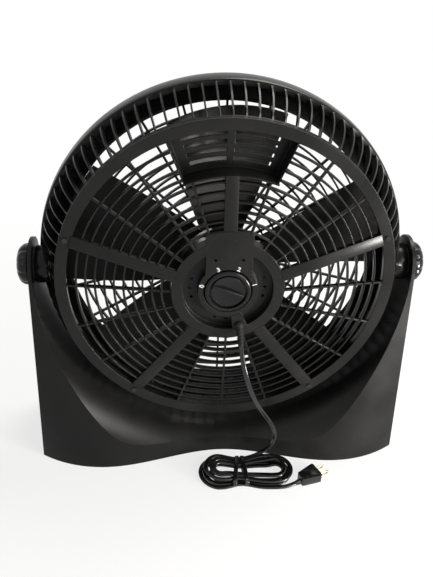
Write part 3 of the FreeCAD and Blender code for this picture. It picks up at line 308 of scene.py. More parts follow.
# %% Waist and tail of the hank
HANK_CENTRE = Vector((0.038, -0.118, 0.0))
LOWER_LEVEL = 0.0035
TIE_X = 0.026
WAIST_DRAW = 0.30
WAIST_REACH = 0.020
TAIL_STRAIGHT = 0.006
TAIL_ARC_RADIUS = 0.040
TAIL_TURN = math.radians(25)


def loosened(x, y, level, swing, lift):
    """A hank point drawn in at the tied waist and left loose away from it."""
    tied = math.exp(-((x - TIE_X) / WAIST_REACH) ** 2)
    y = y * (1 - WAIST_DRAW * tied) + (x - TIE_X) * math.tan(swing)
    return Vector((x, HANK_CENTRE.y + y, level + lift * (1 - tied)))


def tail_points(x, y, way):
    """The lead's end, from the last run round to the plug, and the way the plug points."""
    points = [Vector((x, y, LOWER_LEVEL)), Vector((x + way * TAIL_STRAIGHT, y, LOWER_LEVEL))]
    corner = points[-1]
    for swing in (TAIL_TURN / 2, TAIL_TURN):
        bent = Vector((way * math.sin(swing), 1 - math.cos(swing), 0)) * TAIL_ARC_RADIUS
        points.append(corner + bent)
    heading = Vector((way * math.cos(TAIL_TURN), math.sin(TAIL_TURN), 0))
    points.append(points[-1] + heading * TAIL_STRAIGHT)
    return points, heading


print("hank tied at x", TIE_X, "with its middle at x", round(HANK_CENTRE.x, 4))

# %% [markdown]
# ## Loose runs
# Each turn of a real hank is laid by hand, so no two are alike. Equal loops would look stamped
# out. So every run draws its own swing, stretch and lift by chance. The chance has a fixed seed,
# and the hank comes out the same each time.

# %% Runs and turns of the hank
HANK_RUN = 0.076
HANK_HALF_WIDTH = 0.028
HANK_STEP = 0.0034
RUNS_PER_LAYER = 6
UPPER_LEVEL = 0.0098
RUN_SHARES = (-0.8, -0.4, 0.0, 0.4, 0.8)
TURN_DEGREES = (-75, -50, -25, 0, 25, 50, 75)
LOOSE_SEED = 7
SWING_MOST = math.radians(6.5)
STRETCH_MOST = 0.17
LIFT_SHARES = (0.2, 1.0)
UPPER_LIFT = 0.009
LOWER_LIFT = 0.0012

looseness = random.Random(LOOSE_SEED)


def ease(share):
    """Smooth step from nought to one."""
    return share * share * (3 - 2 * share)


def hank_points():
    """Turns of the hank, from the run that the drop enters to the lead's end in the plug."""
    inward = [HANK_HALF_WIDTH - HANK_STEP * i for i in range(RUNS_PER_LAYER)]
    outward = [inward[-1] + HANK_STEP * (i + 1) for i in range(RUNS_PER_LAYER)]
    offsets = inward + outward
    last = len(offsets) - 1
    swings = [looseness.uniform(-SWING_MOST, SWING_MOST) for _ in offsets]
    stretches = [1 + looseness.uniform(-STRETCH_MOST, STRETCH_MOST) for _ in offsets]
    swings[0] = swings[last] = 0.0
    points = []
    way = -1
    for i, offset in enumerate(offsets):
        upper = i < RUNS_PER_LAYER
        side = 1 if i % 2 == 0 else -1
        lift = looseness.uniform(*LIFT_SHARES) * (UPPER_LIFT if upper else LOWER_LIFT)
        for share in RUN_SHARES:
            if i == 0 and share < 0:
                continue
            level = UPPER_LEVEL if upper else LOWER_LEVEL
            if i == RUNS_PER_LAYER - 1:
                level = UPPER_LEVEL + (LOWER_LEVEL - UPPER_LEVEL) * ease((share + 1) / 2)
            x = HANK_CENTRE.x + way * share * HANK_RUN / 2
            rise = 0.0 if i in (0, last) else lift
            points.append(loosened(x, side * offset, level, swings[i], rise))
        if i == last:
            break
        level = UPPER_LEVEL if i + 1 < RUNS_PER_LAYER else LOWER_LEVEL
        middle = side * (offset - offsets[i + 1]) / 2
        reach = (offset + offsets[i + 1]) / 2
        for degrees in TURN_DEGREES:
            swept = math.radians(degrees)
            share = (degrees + 90) / 180
            swing = swings[i] * (1 - share) + swings[i + 1] * share
            x = HANK_CENTRE.x + way * (HANK_RUN / 2 + reach * math.cos(swept) * stretches[i])
            y = middle - side * reach * math.sin(swept)
            points.append(loosened(x, y, level, swing, lift))
        way = -way
    end_x = HANK_CENTRE.x + way * HANK_RUN / 2
    tail, heading = tail_points(end_x, HANK_CENTRE.y - offsets[last], way)
    return points + tail, heading


turns, plug_heading = hank_points()
print("hank has", len(turns), "points in", 2 * RUNS_PER_LAYER, "runs")

# %% [markdown]
# ## The lead's route
# The drop is a list of points chosen to follow the picture: straight out of the boot,
# down under its own weight and round onto the floor. Straight runs with rounded corners would
# look like bent wire. A NURBS spline with these points as its controls has no corners, and the
# points along it are read back to carry the lead's section.

# %% Route of the lead
LEAD_WIDTH = 0.0066
ROUTE_RESOLUTION = 5
ROUTE_ORDER = 3
DROP_POINTS = [
    (0.0185, -0.1015, 0.2232), (0.0194, -0.1150, 0.2113), (0.0240, -0.1215, 0.1910),
    (0.0310, -0.1235, 0.1680), (0.0400, -0.1210, 0.1440), (0.0510, -0.1155, 0.1210),
    (0.0630, -0.1090, 0.0990), (0.0730, -0.1025, 0.0770), (0.0780, -0.0970, 0.0560),
    (0.0765, -0.0930, 0.0370), (0.0680, -0.0908, 0.0210), (0.0530, -0.0900, 0.0098),
]


def smooth_line(name, controls):
    """Points along a smooth curve through the neighbourhood of the control points."""
    data = bpy.data.curves.new(name, "CURVE")
    data.dimensions = "3D"
    data.resolution_u = ROUTE_RESOLUTION
    spline = data.splines.new("NURBS")
    spline.points.add(len(controls) - 1)
    for point, control in zip(spline.points, controls):
        point.co = (*control, 1.0)
    spline.order_u = ROUTE_ORDER
    spline.use_endpoint_u = True
    curve = bpy.data.objects.new(name, data)
    bpy.context.scene.collection.objects.link(curve)
    bpy.context.view_layer.update()
    mesh = bpy.data.meshes.new_from_object(curve)
    line = [vertex.co.copy() for vertex in mesh.vertices]
    bpy.data.objects.remove(curve)
    bpy.data.meshes.remove(mesh)
    return line


route = smooth_line("lead_route", [Vector(p) for p in DROP_POINTS] + turns)
route_length = sum((b - a).length for a, b in zip(route, route[1:]))
print("lead route", len(route), "points,", round(route_length, 3), "m")

# %% [markdown]
# ## Dressing a piece
# Every new piece goes the same way: it is smoothed except at its sharp edges, gets its finish,
# rides on a body of the moving fan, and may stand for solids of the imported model, which are then
# hidden. Doing this by hand for each piece invites slips, so one function does it all.

# %% Helpers for pieces
SMOOTH_ANGLE = math.radians(38)


def pick(piece):
    """Make one piece the only selected and active one."""
    bpy.ops.object.select_all(action="DESELECT")
    piece.select_set(True)
    bpy.context.view_layer.objects.active = piece


def mesh_piece(name, points, edges, faces):
    """New piece from points, linked to the scene."""
    mesh = bpy.data.meshes.new(name)
    mesh.from_pydata(points, edges, faces)
    piece = bpy.data.objects.new(name, mesh)
    bpy.context.scene.collection.objects.link(piece)
    return piece


def dress(piece, slot, body, *replaced, smooth=SMOOTH_ANGLE, finish=None):
    """Smooth a piece, give it its finish and its body, and let it stand for CAD nodes."""
    pick(piece)
    bpy.ops.object.shade_smooth_by_angle(angle=smooth)
    piece.data.materials.clear()
    piece.data.materials.append(finish or FINISHES[slot])
    if body is not None:
        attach(piece, body)
    if replaced:
        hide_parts(*replaced)

# %% [markdown]
# ## The lead
# The lead is moulded as two round cores side by side, so its section has two lobes with a groove
# between them. A curve with a bevel could make a tube, but it twists where it likes. Here the
# section is carried along the route point by point with its flat side down, starting on the floor
# at the plug, and it takes one slow quarter turn as it rises off the floor.

# %% Section of the lead
LOBE_RADIUS = 0.00175
LOBE_OFFSET = 0.00155
LOBE_POINTS = 8
LOBE_OPEN = math.radians(125)
TWIST_FROM = 0.022
TWIST_TO = 0.075


def twin_section():
    """Outline of two round cores side by side, as (across, up) pairs."""
    outline = []
    for side in (1, -1):
        for i in range(LOBE_POINTS):
            angle = -LOBE_OPEN + 2 * LOBE_OPEN * i / (LOBE_POINTS - 1)
            across = LOBE_OFFSET + LOBE_RADIUS * math.cos(angle)
            outline.append((side * across, side * LOBE_RADIUS * math.sin(angle)))
    return outline


def drop_twist(place):
    """Quarter turn that brings the lead's flat side to the back as it rises off the floor."""
    share = min(1.0, max(0.0, (place.z - TWIST_FROM) / (TWIST_TO - TWIST_FROM)))
    return math.pi / 2 * ease(share)


print("section has", len(twin_section()), "points")

# %% [markdown]
# The skin between the sections is a strip of four-sided faces from each section to the next, with
# a cap at both ends, or none where the line closes on itself.

# %% Lead


def sweep(name, line, up, closed):
    """Carry the twin section along a line, keeping its up direction as steady as it can."""
    outline = twin_section()
    points = []
    count = len(line)
    for i, place in enumerate(line):
        before = line[i - 1] if i or closed else place
        after = line[(i + 1) % count] if i + 1 < count or closed else place
        along = (after - before).normalized()
        up = (up - along * up.dot(along)).normalized()
        turn = Matrix.Rotation(drop_twist(place), 3, along)
        across = turn @ along.cross(up)
        points += [place + across * a + (turn @ up) * u for a, u in outline]
    size = len(outline)
    faces = []
    for i in range(count if closed else count - 1):
        here, there = i * size, (i + 1) % count * size
        for k in range(size):
            beside = (k + 1) % size
            faces.append((here + k, here + beside, there + beside, there + k))
    if not closed:
        faces.append(tuple(range(size))[::-1])
        faces.append(tuple(range((count - 1) * size, count * size)))
    piece = mesh_piece(name, points, [], faces)
    pick(piece)
    bpy.ops.object.mode_set(mode="EDIT")
    bpy.ops.mesh.select_all(action="SELECT")
    bpy.ops.mesh.normals_make_consistent(inside=False)
    bpy.ops.object.mode_set(mode="OBJECT")
    return piece


lead = sweep("mains_lead", route[::-1], Vector((0, 0, 1)), False)
dress(lead, "cord_sheath", None, "cord_drop", "cord_hank")
print("lead", len(lead.data.polygons), "faces")

# %% [markdown]
# ## The tie
# The hank is held by two wraps round its waist, of the same flat lead. They could be more turns
# of the route, but the crossing would be hidden under the hank. Two closed loops of the same
# section are simpler and lie as tight: each follows a rounded square round the drawn-in runs,
# and the two lean differently, as hand-wound wraps do.

# %% Wraps round the hank
WRAP_SPACING = 0.0125
WRAP_POINTS = 48
WRAP_SQUARE = 0.55
WRAP_LEANS = (0.14, -0.06)
WRAP_SPARE_TOP = 0.0004
WRAP_SPARE_BOTTOM = 0.0006


def wrap_line(x, lean):
    """Rounded loop round the waist at one place along the hank."""
    tied = 1 - WAIST_DRAW
    near = -(HANK_HALF_WIDTH + HANK_STEP) * tied - LEAD_WIDTH / 2 - LOBE_RADIUS
    far = HANK_HALF_WIDTH * tied + LEAD_WIDTH / 2 + LOBE_RADIUS
    top = UPPER_LEVEL + 2 * LOBE_RADIUS + WRAP_SPARE_TOP
    bottom = LOBE_RADIUS + WRAP_SPARE_BOTTOM
    line = []
    for i in range(WRAP_POINTS):
        angle = 2 * math.pi * i / WRAP_POINTS
        cosine, sine = math.cos(angle), math.sin(angle)
        across = math.copysign(abs(cosine) ** WRAP_SQUARE, cosine)
        rise = math.copysign(abs(sine) ** WRAP_SQUARE, sine)
        y = (near + far) / 2 + across * (far - near) / 2
        z = (bottom + top) / 2 + rise * (top - bottom) / 2
        line.append(Vector((x + y * lean, HANK_CENTRE.y + y, z)))
    return line


def join(pieces, name):
    """Join pieces into one."""
    pick(pieces[0])
    for piece in pieces[1:]:
        piece.select_set(True)
    bpy.ops.object.join()
    pieces[0].name = name
    return pieces[0]


wraps = []
for side, lean in zip((-1, 1), WRAP_LEANS):
    line = wrap_line(TIE_X + side * WRAP_SPACING / 2, lean)
    wraps.append(sweep("wrap", line, Vector((0, 1, 0)), True))
tie = join(wraps, "hank_wraps")
dress(tie, "cord_sheath", "stand", "cord_tie")
print("tie of", len(WRAP_LEANS), "wraps,", len(tie.data.polygons), "faces")

# %% [markdown]
# ## Shaping by hand
# The rest is modelled as at the screen: a primitive is added, shaped, finished with modifiers and
# moved to its place. A modifier that stays live, or a place kept outside the mesh, would shift
# the grain of the materials later. So both are applied at once, by these helpers.

# %% Helpers for shaping


def modify(piece, kind, **settings):
    """Add a modifier, set it and apply it."""
    modifier = piece.modifiers.new(kind.lower(), kind)
    for label, value in settings.items():
        setattr(modifier, label, value)
    pick(piece)
    bpy.ops.object.modifier_apply(modifier=modifier.name)


def fresh(add, **settings):
    """Add one primitive with nothing else selected."""
    bpy.ops.object.select_all(action="DESELECT")
    add(**settings)
    return bpy.context.object


def put(piece, matrix):
    """Move a piece to its place and keep that place in its mesh."""
    piece.matrix_world = matrix
    pick(piece)
    bpy.ops.object.transform_apply(location=True, rotation=True, scale=True)


def pointing(direction):
    """Turn that brings the Z axis to a direction."""
    return direction.to_track_quat("Z", "Y").to_matrix().to_4x4()

# %% [markdown]
# ## The plug
# The plug is moulded onto the lead, so its edges are soft. It could be modelled anew, but the CAD
# plug already has the right size and place. A copy of it is merged, its flat faces are made whole
# again so that the bevel runs cleanly, and its edges are rounded.

# %% Plug
MERGE_DISTANCE = 0.00002
FLAT_ANGLE = math.radians(0.6)
PLUG_EDGE = 0.0022
PLUG_SEGMENTS = 3
EDGE_ANGLE = math.radians(40)


def rounded_copy(node, width, segments, angle, clamp=True, flat=True):
    """Copy of a CAD piece whose sharp edges are rounded off."""
    piece = nodes[node].copy()
    piece.data = nodes[node].data.copy()
    piece.name = node + "_rounded"
    piece.parent = None
    bpy.context.scene.collection.objects.link(piece)
    piece.matrix_world = Matrix.Identity(4)
    pick(piece)
    bpy.ops.object.mode_set(mode="EDIT")
    bpy.ops.mesh.select_all(action="SELECT")
    bpy.ops.mesh.remove_doubles(threshold=MERGE_DISTANCE)
    if flat:
        bpy.ops.mesh.dissolve_limited(angle_limit=FLAT_ANGLE)
    bpy.ops.object.mode_set(mode="OBJECT")
    modify(
        piece, "BEVEL", width=width, segments=segments, limit_method="ANGLE",
        angle_limit=angle, use_clamp_overlap=clamp,
    )
    return piece


plug = rounded_copy("plug_body", PLUG_EDGE, PLUG_SEGMENTS, EDGE_ANGLE)
dress(plug, "cord_sheath", "stand", "plug_body")
print("plug", len(plug.data.polygons), "faces")

# %% [markdown]
# The plug's two flat brass blades have a small hole near their ends. A dark dot would do from
# afar, but light shows through a real hole. So one cylinder across both blades is taken away
# from them, and the two holes are sure to line up.

# %% Plug blades
BLADE_EDGE = 0.0004
BLADE_SEGMENTS = 2
PLUG_LENGTH = 0.040
BLADE_LENGTH = 0.016
BLADE_LEVEL = 0.007
HOLE_RADIUS = 0.0015
HOLE_INSET = 0.0042
HOLE_SIDES = 24

blades = rounded_copy("plug_prongs", BLADE_EDGE, BLADE_SEGMENTS, EDGE_ANGLE)
hole_place = turns[-1] + plug_heading * (PLUG_LENGTH + BLADE_LENGTH - HOLE_INSET)
hole_place.z = BLADE_LEVEL
drill = fresh(
    bpy.ops.mesh.primitive_cylinder_add,
    vertices=HOLE_SIDES, radius=HOLE_RADIUS, depth=PLUG_LENGTH,
)
put(drill, Matrix.Translation(hole_place) @ pointing(plug_heading.cross(Vector((0, 0, 1)))))
modify(blades, "BOOLEAN", object=drill, operation="DIFFERENCE", solver="EXACT")
bpy.data.objects.remove(drill)
dress(blades, "brass", "stand", "plug_prongs")
print("blades", len(blades.data.polygons), "faces")

# %% [markdown]
# ## The strain relief
# Where the lead leaves the hub, a soft tapered boot keeps it from kinking. It has a collar
# against the hub and grooves that let it bend. It could be a cone with rings cut into it. It is
# round all over, so drawing half its section and spinning that about the axis gives collar,
# taper and grooves in one step.

# %% Strain relief
SPIN_MERGE = 0.000002
BOOT_START = PIVOT + Vector((0.017, -0.079, -0.053))
BOOT_TIP = Vector(DROP_POINTS[0])
BOOT_BASE_RADIUS = 0.0055
BOOT_TIP_RADIUS = 0.0038
BOOT_TIP_ROUND = 0.0006
BOOT_COLLAR_RADIUS = 0.0068
BOOT_COLLAR = 0.003
COLLAR_LAND = 0.6
BOOT_GROOVES = 5
BOOT_GROOVE_DEPTH = 0.0009
BOOT_GROOVE_FORM = ((0.0, 0.0), (0.12, 1.0), (0.35, 1.0), (0.47, 0.0))
BOOT_STEPS = 48


def lathe(name, section, steps):
    """Spin a half section of (radius, height) pairs about Z into a closed skin."""
    points = [(radius, 0, height) for radius, height in section]
    piece = mesh_piece(name, points, [(i, i + 1) for i in range(len(points) - 1)], [])
    pick(piece)
    bpy.ops.object.mode_set(mode="EDIT")
    bpy.ops.mesh.select_all(action="SELECT")
    bpy.ops.mesh.spin(steps=steps, angle=2 * math.pi, center=(0, 0, 0), axis=(0, 0, 1))
    bpy.ops.mesh.select_all(action="SELECT")
    bpy.ops.mesh.remove_doubles(threshold=SPIN_MERGE)
    bpy.ops.mesh.normals_make_consistent(inside=False)
    bpy.ops.object.mode_set(mode="OBJECT")
    return piece


boot_run = (BOOT_TIP - BOOT_START).length
section = [
    (0.0, -BOOT_COLLAR), (BOOT_BASE_RADIUS, -BOOT_COLLAR), (BOOT_COLLAR_RADIUS, 0.0),
    (BOOT_COLLAR_RADIUS, BOOT_COLLAR * COLLAR_LAND), (BOOT_BASE_RADIUS, BOOT_COLLAR),
]
rib = (boot_run - 2 * BOOT_COLLAR) / BOOT_GROOVES
for i in range(BOOT_GROOVES):
    start = BOOT_COLLAR + (i + 0.5) * rib
    for share, depth in BOOT_GROOVE_FORM:
        height = start + share * rib
        radius = BOOT_BASE_RADIUS + (BOOT_TIP_RADIUS - BOOT_BASE_RADIUS) * height / boot_run
        section.append((radius - depth * BOOT_GROOVE_DEPTH, height))
section += [
    (BOOT_TIP_RADIUS, boot_run - BOOT_TIP_ROUND), (BOOT_TIP_RADIUS - BOOT_TIP_ROUND, boot_run),
    (0.0, boot_run),
]
boot = lathe("strain_relief_boot", section, BOOT_STEPS)
boot_axis = (BOOT_TIP - BOOT_START).normalized()
put(boot, Matrix.Translation(BOOT_START) @ pointing(boot_axis))
dress(boot, "rubber", "head", "strain_relief")
print("boot", round(boot_run, 4), "m long,", len(boot.data.polygons), "faces")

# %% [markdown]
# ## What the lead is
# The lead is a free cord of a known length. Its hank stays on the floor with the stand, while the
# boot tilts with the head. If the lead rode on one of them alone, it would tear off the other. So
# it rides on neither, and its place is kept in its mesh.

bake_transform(lead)

# %% [markdown]
# ## The speed knob
# The speed knob is a polished disc with a rolled lip, a dark groove inside the lip and a shallow
# dish. Bevels on a cylinder would need a separate step for each of these rings. A half section
# drawn from the back round the lip and down into the dish has them all, and the lathe spins it.

# %% Speed knob
KNOB_LOW, KNOB_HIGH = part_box("speed_knob")
KNOB_FACE_Y = KNOB_LOW[1]
KNOB_DEPTH = KNOB_HIGH[1] - KNOB_LOW[1]
KNOB_RADIUS = (KNOB_HIGH[0] - KNOB_LOW[0]) / 2
KNOB_BACK_SHARE = 0.97
LIP_WIDTH = 0.0058
LIP_OUTER_ROLL = ((0.0, 0.0035), (0.0004, 0.0018), (0.0014, 0.0006), (0.0030, 0.0))
LIP_INNER_ROLL = ((0.0016, 0.0001), (0.0004, 0.0006), (0.0, 0.0016))
GROOVE_WIDTH = 0.0026
GROOVE_DEPTH = 0.0049
DISH_EDGE = 0.0012
DISH_ROLL = 0.0004
DISH_DEPTH = 0.0046
DISH_RINGS = 12
KNOB_STEPS = 96

lip_inner = KNOB_RADIUS - LIP_WIDTH
dish_radius = lip_inner - GROOVE_WIDTH
section = [(0.0, -KNOB_DEPTH), (KNOB_RADIUS * KNOB_BACK_SHARE, -KNOB_DEPTH)]
section += [(KNOB_RADIUS - inset, -depth) for inset, depth in LIP_OUTER_ROLL]
section += [(lip_inner + inset, -depth) for inset, depth in LIP_INNER_ROLL]
section += [(lip_inner, -GROOVE_DEPTH), (dish_radius, -GROOVE_DEPTH)]
section.append((dish_radius, -DISH_EDGE - DISH_ROLL))
for i in range(DISH_RINGS + 1):
    share = 1 - i / DISH_RINGS
    depth = -DISH_DEPTH + (DISH_DEPTH - DISH_EDGE) * share ** 2
    section.append(((dish_radius - DISH_ROLL) * share, depth))
knob = lathe("speed_knob_turned", section, KNOB_STEPS)
print("turned knob", len(knob.data.polygons), "faces, radius", round(KNOB_RADIUS, 4))

# %% [markdown]
# Across the dish runs a raised grip bar, which points at the chosen speed. It isn't round, so the
# lathe can't make it. It starts as a cube, narrows towards its top and has its edges rounded, and
# is joined to the knob before both are turned to the back of the fan.

# %% Grip bar
GRIP_WIDTH = 0.0092
GRIP_PROUD = 0.0002
GRIP_TOP_SHARE = 0.55
GRIP_END_SHARE = 0.97
GRIP_ANGLE = math.radians(158)
GRIP_EDGE = 0.0014
GRIP_SEGMENTS = 4
GRIP_SHARP = math.radians(30)
TO_THE_BACK = Matrix.Rotation(math.pi / 2, 4, "X")

grip = fresh(bpy.ops.mesh.primitive_cube_add, size=1.0)
grip_height = 2 * DISH_DEPTH
sized = Matrix.Diagonal((2 * dish_radius, GRIP_WIDTH, grip_height, 1))
put(grip, Matrix.Translation((0, 0, -grip_height / 2 + GRIP_PROUD)) @ sized)
for vertex in grip.data.vertices:
    if vertex.co.z > -grip_height / 2:
        vertex.co.y *= GRIP_TOP_SHARE
        vertex.co.x *= GRIP_END_SHARE
modify(
    grip, "BEVEL", width=GRIP_EDGE, segments=GRIP_SEGMENTS, limit_method="ANGLE",
    angle_limit=GRIP_SHARP,
)
knob = join([knob, grip], "speed_knob_turned")
spun = Matrix.Rotation(GRIP_ANGLE, 4, "Z")
put(knob, Matrix.Translation((PIVOT.x, KNOB_FACE_Y, PIVOT.z)) @ TO_THE_BACK @ spun)
dress(knob, "knob_plastic", "speed_dial", "speed_knob")
print("speed knob", len(knob.data.polygons), "faces")

# %% [markdown]
# ## The dial numbers
# Pale numbers are printed on the hub round the knob, each with its foot towards the middle. A
# print could be painted with a mask in the hub's material. Text made into a mesh keeps its
# edges crisp in every view, and a raise of a tenth of a millimetre is about that of thick ink.
# The ink gets the moulded grain too, so that it is a little worn in places.

# %% Dial numbers
DIAL_RADIUS = 0.0357
DIAL_HEIGHT = 0.0085
DIAL_BOLD = 0.0003
DIAL_RAISE = 0.00012
HUB_FACE_Y = -0.078
INK_PALE = (0.44, 0.44, 0.43)
INK_WORN = (0.34, 0.34, 0.33)
DIAL_MARKS = (("0", 166.0), ("3", 112.5), ("2", 68.6), ("1", 16.0))

marks = []
for mark, degrees in DIAL_MARKS:
    text = fresh(bpy.ops.object.text_add)
    text.data.body = mark
    text.data.size = DIAL_HEIGHT
    text.data.align_x = "CENTER"
    text.data.align_y = "CENTER"
    text.data.extrude = DIAL_RAISE
    text.data.offset = DIAL_BOLD
    bpy.ops.object.convert(target="MESH")
    angle = math.radians(degrees)
    around = Vector((math.cos(angle), 0, math.sin(angle))) * DIAL_RADIUS
    place = PIVOT + around + Vector((0, HUB_FACE_Y - DIAL_RAISE / 2, 0))
    turned = Matrix.Rotation(angle - math.pi / 2, 4, "Z")
    put(text, Matrix.Translation(place) @ TO_THE_BACK @ turned)
    marks.append(text)
dial = join(marks, "dial_numbers")
ink = moulding(
    "dial_ink", INK_PALE, INK_WORN,
    roughness=(0.5, 0.65), grain_scale=1800.0, grain_height=0.1, specular=0.1,
)
dress(dial, "grille_plastic", "head", finish=ink)
print("dial with", len(DIAL_MARKS), "numbers")

# %% [markdown]
# ## The tilt knobs
# A fluted knob on each arm clamps the head at its tilt. Grooves could be cut into a turned knob
# one by one. It is quicker to pull the flutes into a flat outline first, and then to extrude
# that outline along the stud in steps, each scaled to the width that the knob has there. So the
# flutes run up from the neck over the drum and fade into the soft dome.

# %% Tilt knobs
TILT_FLUTES = 10
TILT_POINTS = 120
FLUTE_DEPTH = 0.0016
TILT_STEPS = (
    (0.0, 0.78), (0.0012, 0.78), (0.0016, 0.96), (0.0030, 1.0), (0.0070, 0.995), (0.0100, 0.965),
    (0.0125, 0.91), (0.0145, 0.84), (0.0162, 0.75), (0.0174, 0.64), (0.0180, 0.50), (0.0178, 0.34),
)


def tilt_knob(side, node, body):
    """Fluted clamp knob on one arm. Side is -1 for left and 1 for right."""
    low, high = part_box(node)
    radius = (high[1] - low[1]) / 2
    depth = high[0] - low[0]
    inner = high[0] if side < 0 else low[0]
    piece = fresh(
        bpy.ops.mesh.primitive_circle_add,
        vertices=TILT_POINTS, radius=radius, fill_type="NGON",
    )
    piece.name = node + "_fluted"
    for vertex in piece.data.vertices:
        angle = math.atan2(vertex.co.y, vertex.co.x)
        dip = max(0.0, math.cos(TILT_FLUTES * angle)) ** 2
        vertex.co *= 1 - FLUTE_DEPTH / radius * dip
    bpy.ops.object.mode_set(mode="EDIT")
    bpy.ops.mesh.select_all(action="SELECT")
    at, wide = TILT_STEPS[0]
    bpy.ops.transform.resize(value=(wide, wide, 1))
    for height, share in TILT_STEPS[1:]:
        bpy.ops.mesh.extrude_region_move(TRANSFORM_OT_translate={"value": (0, 0, height - at)})
        bpy.ops.transform.resize(value=(share / wide, share / wide, 1))
        at, wide = height, share
    bpy.ops.mesh.select_all(action="SELECT")
    bpy.ops.mesh.normals_make_consistent(inside=False)
    bpy.ops.object.mode_set(mode="OBJECT")
    stretch = Matrix.Diagonal((1, 1, depth / max(h for h, _ in TILT_STEPS), 1))
    place = Matrix.Translation((inner, PIVOT.y, PIVOT.z))
    put(piece, place @ pointing(Vector((side, 0, 0))) @ stretch)
    dress(piece, "knob_plastic", body, node)
    print(piece.name, len(piece.data.polygons), "faces")


tilt_knob(-1, "left_tilt_knob", "left_clamp")
tilt_knob(1, "right_tilt_knob", "right_clamp")

# %% [markdown]
# ## Rounded mouldings
# A moulded edge is never sharp, and on black plastic it is the edge that catches the light. The
# stand, the rear grille and the drum could be modelled again with soft edges, but their CAD
# pieces are exact already. So each is copied and bevelled wherever two faces meet sharply. On the
# stand the limit is low enough to take in the curved fold between arm and trough. Weighted
# normals keep the large faces flat beside their new edges.

# %% Rounded stand, rear grille and drum
STAND_EDGE = 0.0016
STAND_SEGMENTS = 3
GRILLE_EDGE = 0.0008
GRILLE_SEGMENTS = 2
SHROUD_EDGE = 0.0005
SHROUD_SEGMENTS = 1
SHARP = math.radians(35)
SOFT_CREASE = math.radians(62)
FOLD = math.radians(17)
LARGE_FACE_WEIGHT = 80

stand = rounded_copy("stand", STAND_EDGE, STAND_SEGMENTS, FOLD, flat=False)
dress(stand, "stand_plastic", "stand", "stand", smooth=SOFT_CREASE)
modify(stand, "WEIGHTED_NORMAL", mode="FACE_AREA", weight=LARGE_FACE_WEIGHT, keep_sharp=True)
grille = rounded_copy("rear_grille", GRILLE_EDGE, GRILLE_SEGMENTS, SHARP, clamp=False)
dress(grille, "grille_plastic", "head", "rear_grille", smooth=SHARP)
modify(grille, "WEIGHTED_NORMAL", keep_sharp=True)
shroud = rounded_copy("drum_shroud", SHROUD_EDGE, SHROUD_SEGMENTS, SHARP)
dress(shroud, "grille_plastic", "head", "drum_shroud")
for piece in (stand, grille, shroud):
    print(piece.name, len(piece.data.polygons), "faces")

# %% [markdown]
# ## The spoke faces
# Five wide spokes cross the rings of the rear grille, and on the real grille their flat outer
# faces lie over the rings. In the solids the rings stand a hair in front. Moving the rings would
# mean a new grille, so each spoke gets a thin flat bar instead, which follows the shallow cone
# from the hub to the rear ring. The top one is shorter, because it ends at the handle pocket.

# %% Spoke faces
SPOKE_WIDTH = 0.017
SPOKE_FACE = 0.0012
SPOKE_PROUD = 0.0004
SPOKE_EDGE = 0.0004
SPOKE_SEGMENTS = 2
SPOKE_COUNT = 5
CONE_INNER = Vector((0.0735, -0.0780))
CONE_OUTER = Vector((0.2125, -0.0610))
TOP_SPOKE_END = 0.158


def spoke_face(index):
    """Thin bar on one spoke, counted from the top."""
    slope = (CONE_OUTER.y - CONE_INNER.y) / (CONE_OUTER.x - CONE_INNER.x)
    far = TOP_SPOKE_END if index == 0 else CONE_OUTER.x
    run = far - CONE_INNER.x
    depth = CONE_INNER.y + slope * run / 2 + SPOKE_FACE / 2 - SPOKE_PROUD
    bar = fresh(bpy.ops.mesh.primitive_cube_add, size=1.0)
    sized = Matrix.Diagonal((math.hypot(run, slope * run), SPOKE_FACE, SPOKE_WIDTH, 1))
    leaned = Matrix.Rotation(math.atan(slope), 4, "Z")
    moved = Matrix.Translation((CONE_INNER.x + run / 2, depth, 0))
    turned = Matrix.Rotation(-math.radians(90 + index * 360 / SPOKE_COUNT), 4, "Y")
    put(bar, Matrix.Translation(PIVOT) @ turned @ moved @ leaned @ sized)
    modify(
        bar, "BEVEL", width=SPOKE_EDGE, segments=SPOKE_SEGMENTS, limit_method="ANGLE",
        angle_limit=SHARP,
    )
    return bar


spokes = join([spoke_face(i) for i in range(SPOKE_COUNT)], "spoke_faces")
dress(spokes, "grille_plastic", "head")
print("spoke faces", len(spokes.data.polygons), "faces")

# %% [markdown]
# ## The border of the front grille
# Seen through the fins, the front of the drum is closed by a dark border inside the rim, which
# leaves the open rings a smaller circle. It could be cut from a disc, but it is round and thin,
# so a closed section spun about the drum's axis gives the flat ring and the bead along its inner
# edge together. Its black is darker and duller than the grille's. This is painted shade, which
# stands in for the drum's shadow that falls on it.

# %% Front border
FRONT_LOW, FRONT_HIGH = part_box("front_grille")
BORDER_OUTER = (FRONT_HIGH[0] - FRONT_LOW[0]) / 2
BORDER_WIDTH = 0.026
BORDER_BEAD = 0.0012
BORDER_INSET = 0.0006
BORDER_STEPS = 144

border_outer = BORDER_OUTER - BORDER_INSET
border_inner = BORDER_OUTER - BORDER_WIDTH
border_front = -FRONT_HIGH[1] + BORDER_INSET
border_back = -FRONT_LOW[1] - BORDER_INSET
section = [
    (border_outer, border_front), (border_outer, border_back),
    (border_inner + 2 * BORDER_BEAD, border_back),
    (border_inner + BORDER_BEAD, border_back + BORDER_INSET),
    (border_inner, border_back), (border_inner, border_front), (border_outer, border_front),
]
border = lathe("front_grille_border", section, BORDER_STEPS)
put(border, Matrix.Translation((PIVOT.x, 0, PIVOT.z)) @ TO_THE_BACK)
# Darker, duller black than the grille's: painted shade for the drum's shadow on the border
painted_shade_finish = moulding(
    "border_painted_shade_black", KNOB_BLACK, KNOB_DUSTY,
    roughness=(0.5, 0.62), grain_scale=1500.0, grain_height=0.15, specular=0.03,
)
dress(border, "grille_plastic", "head", finish=painted_shade_finish)
print("front border from", round(border_inner, 4), "to", round(BORDER_OUTER, 4))

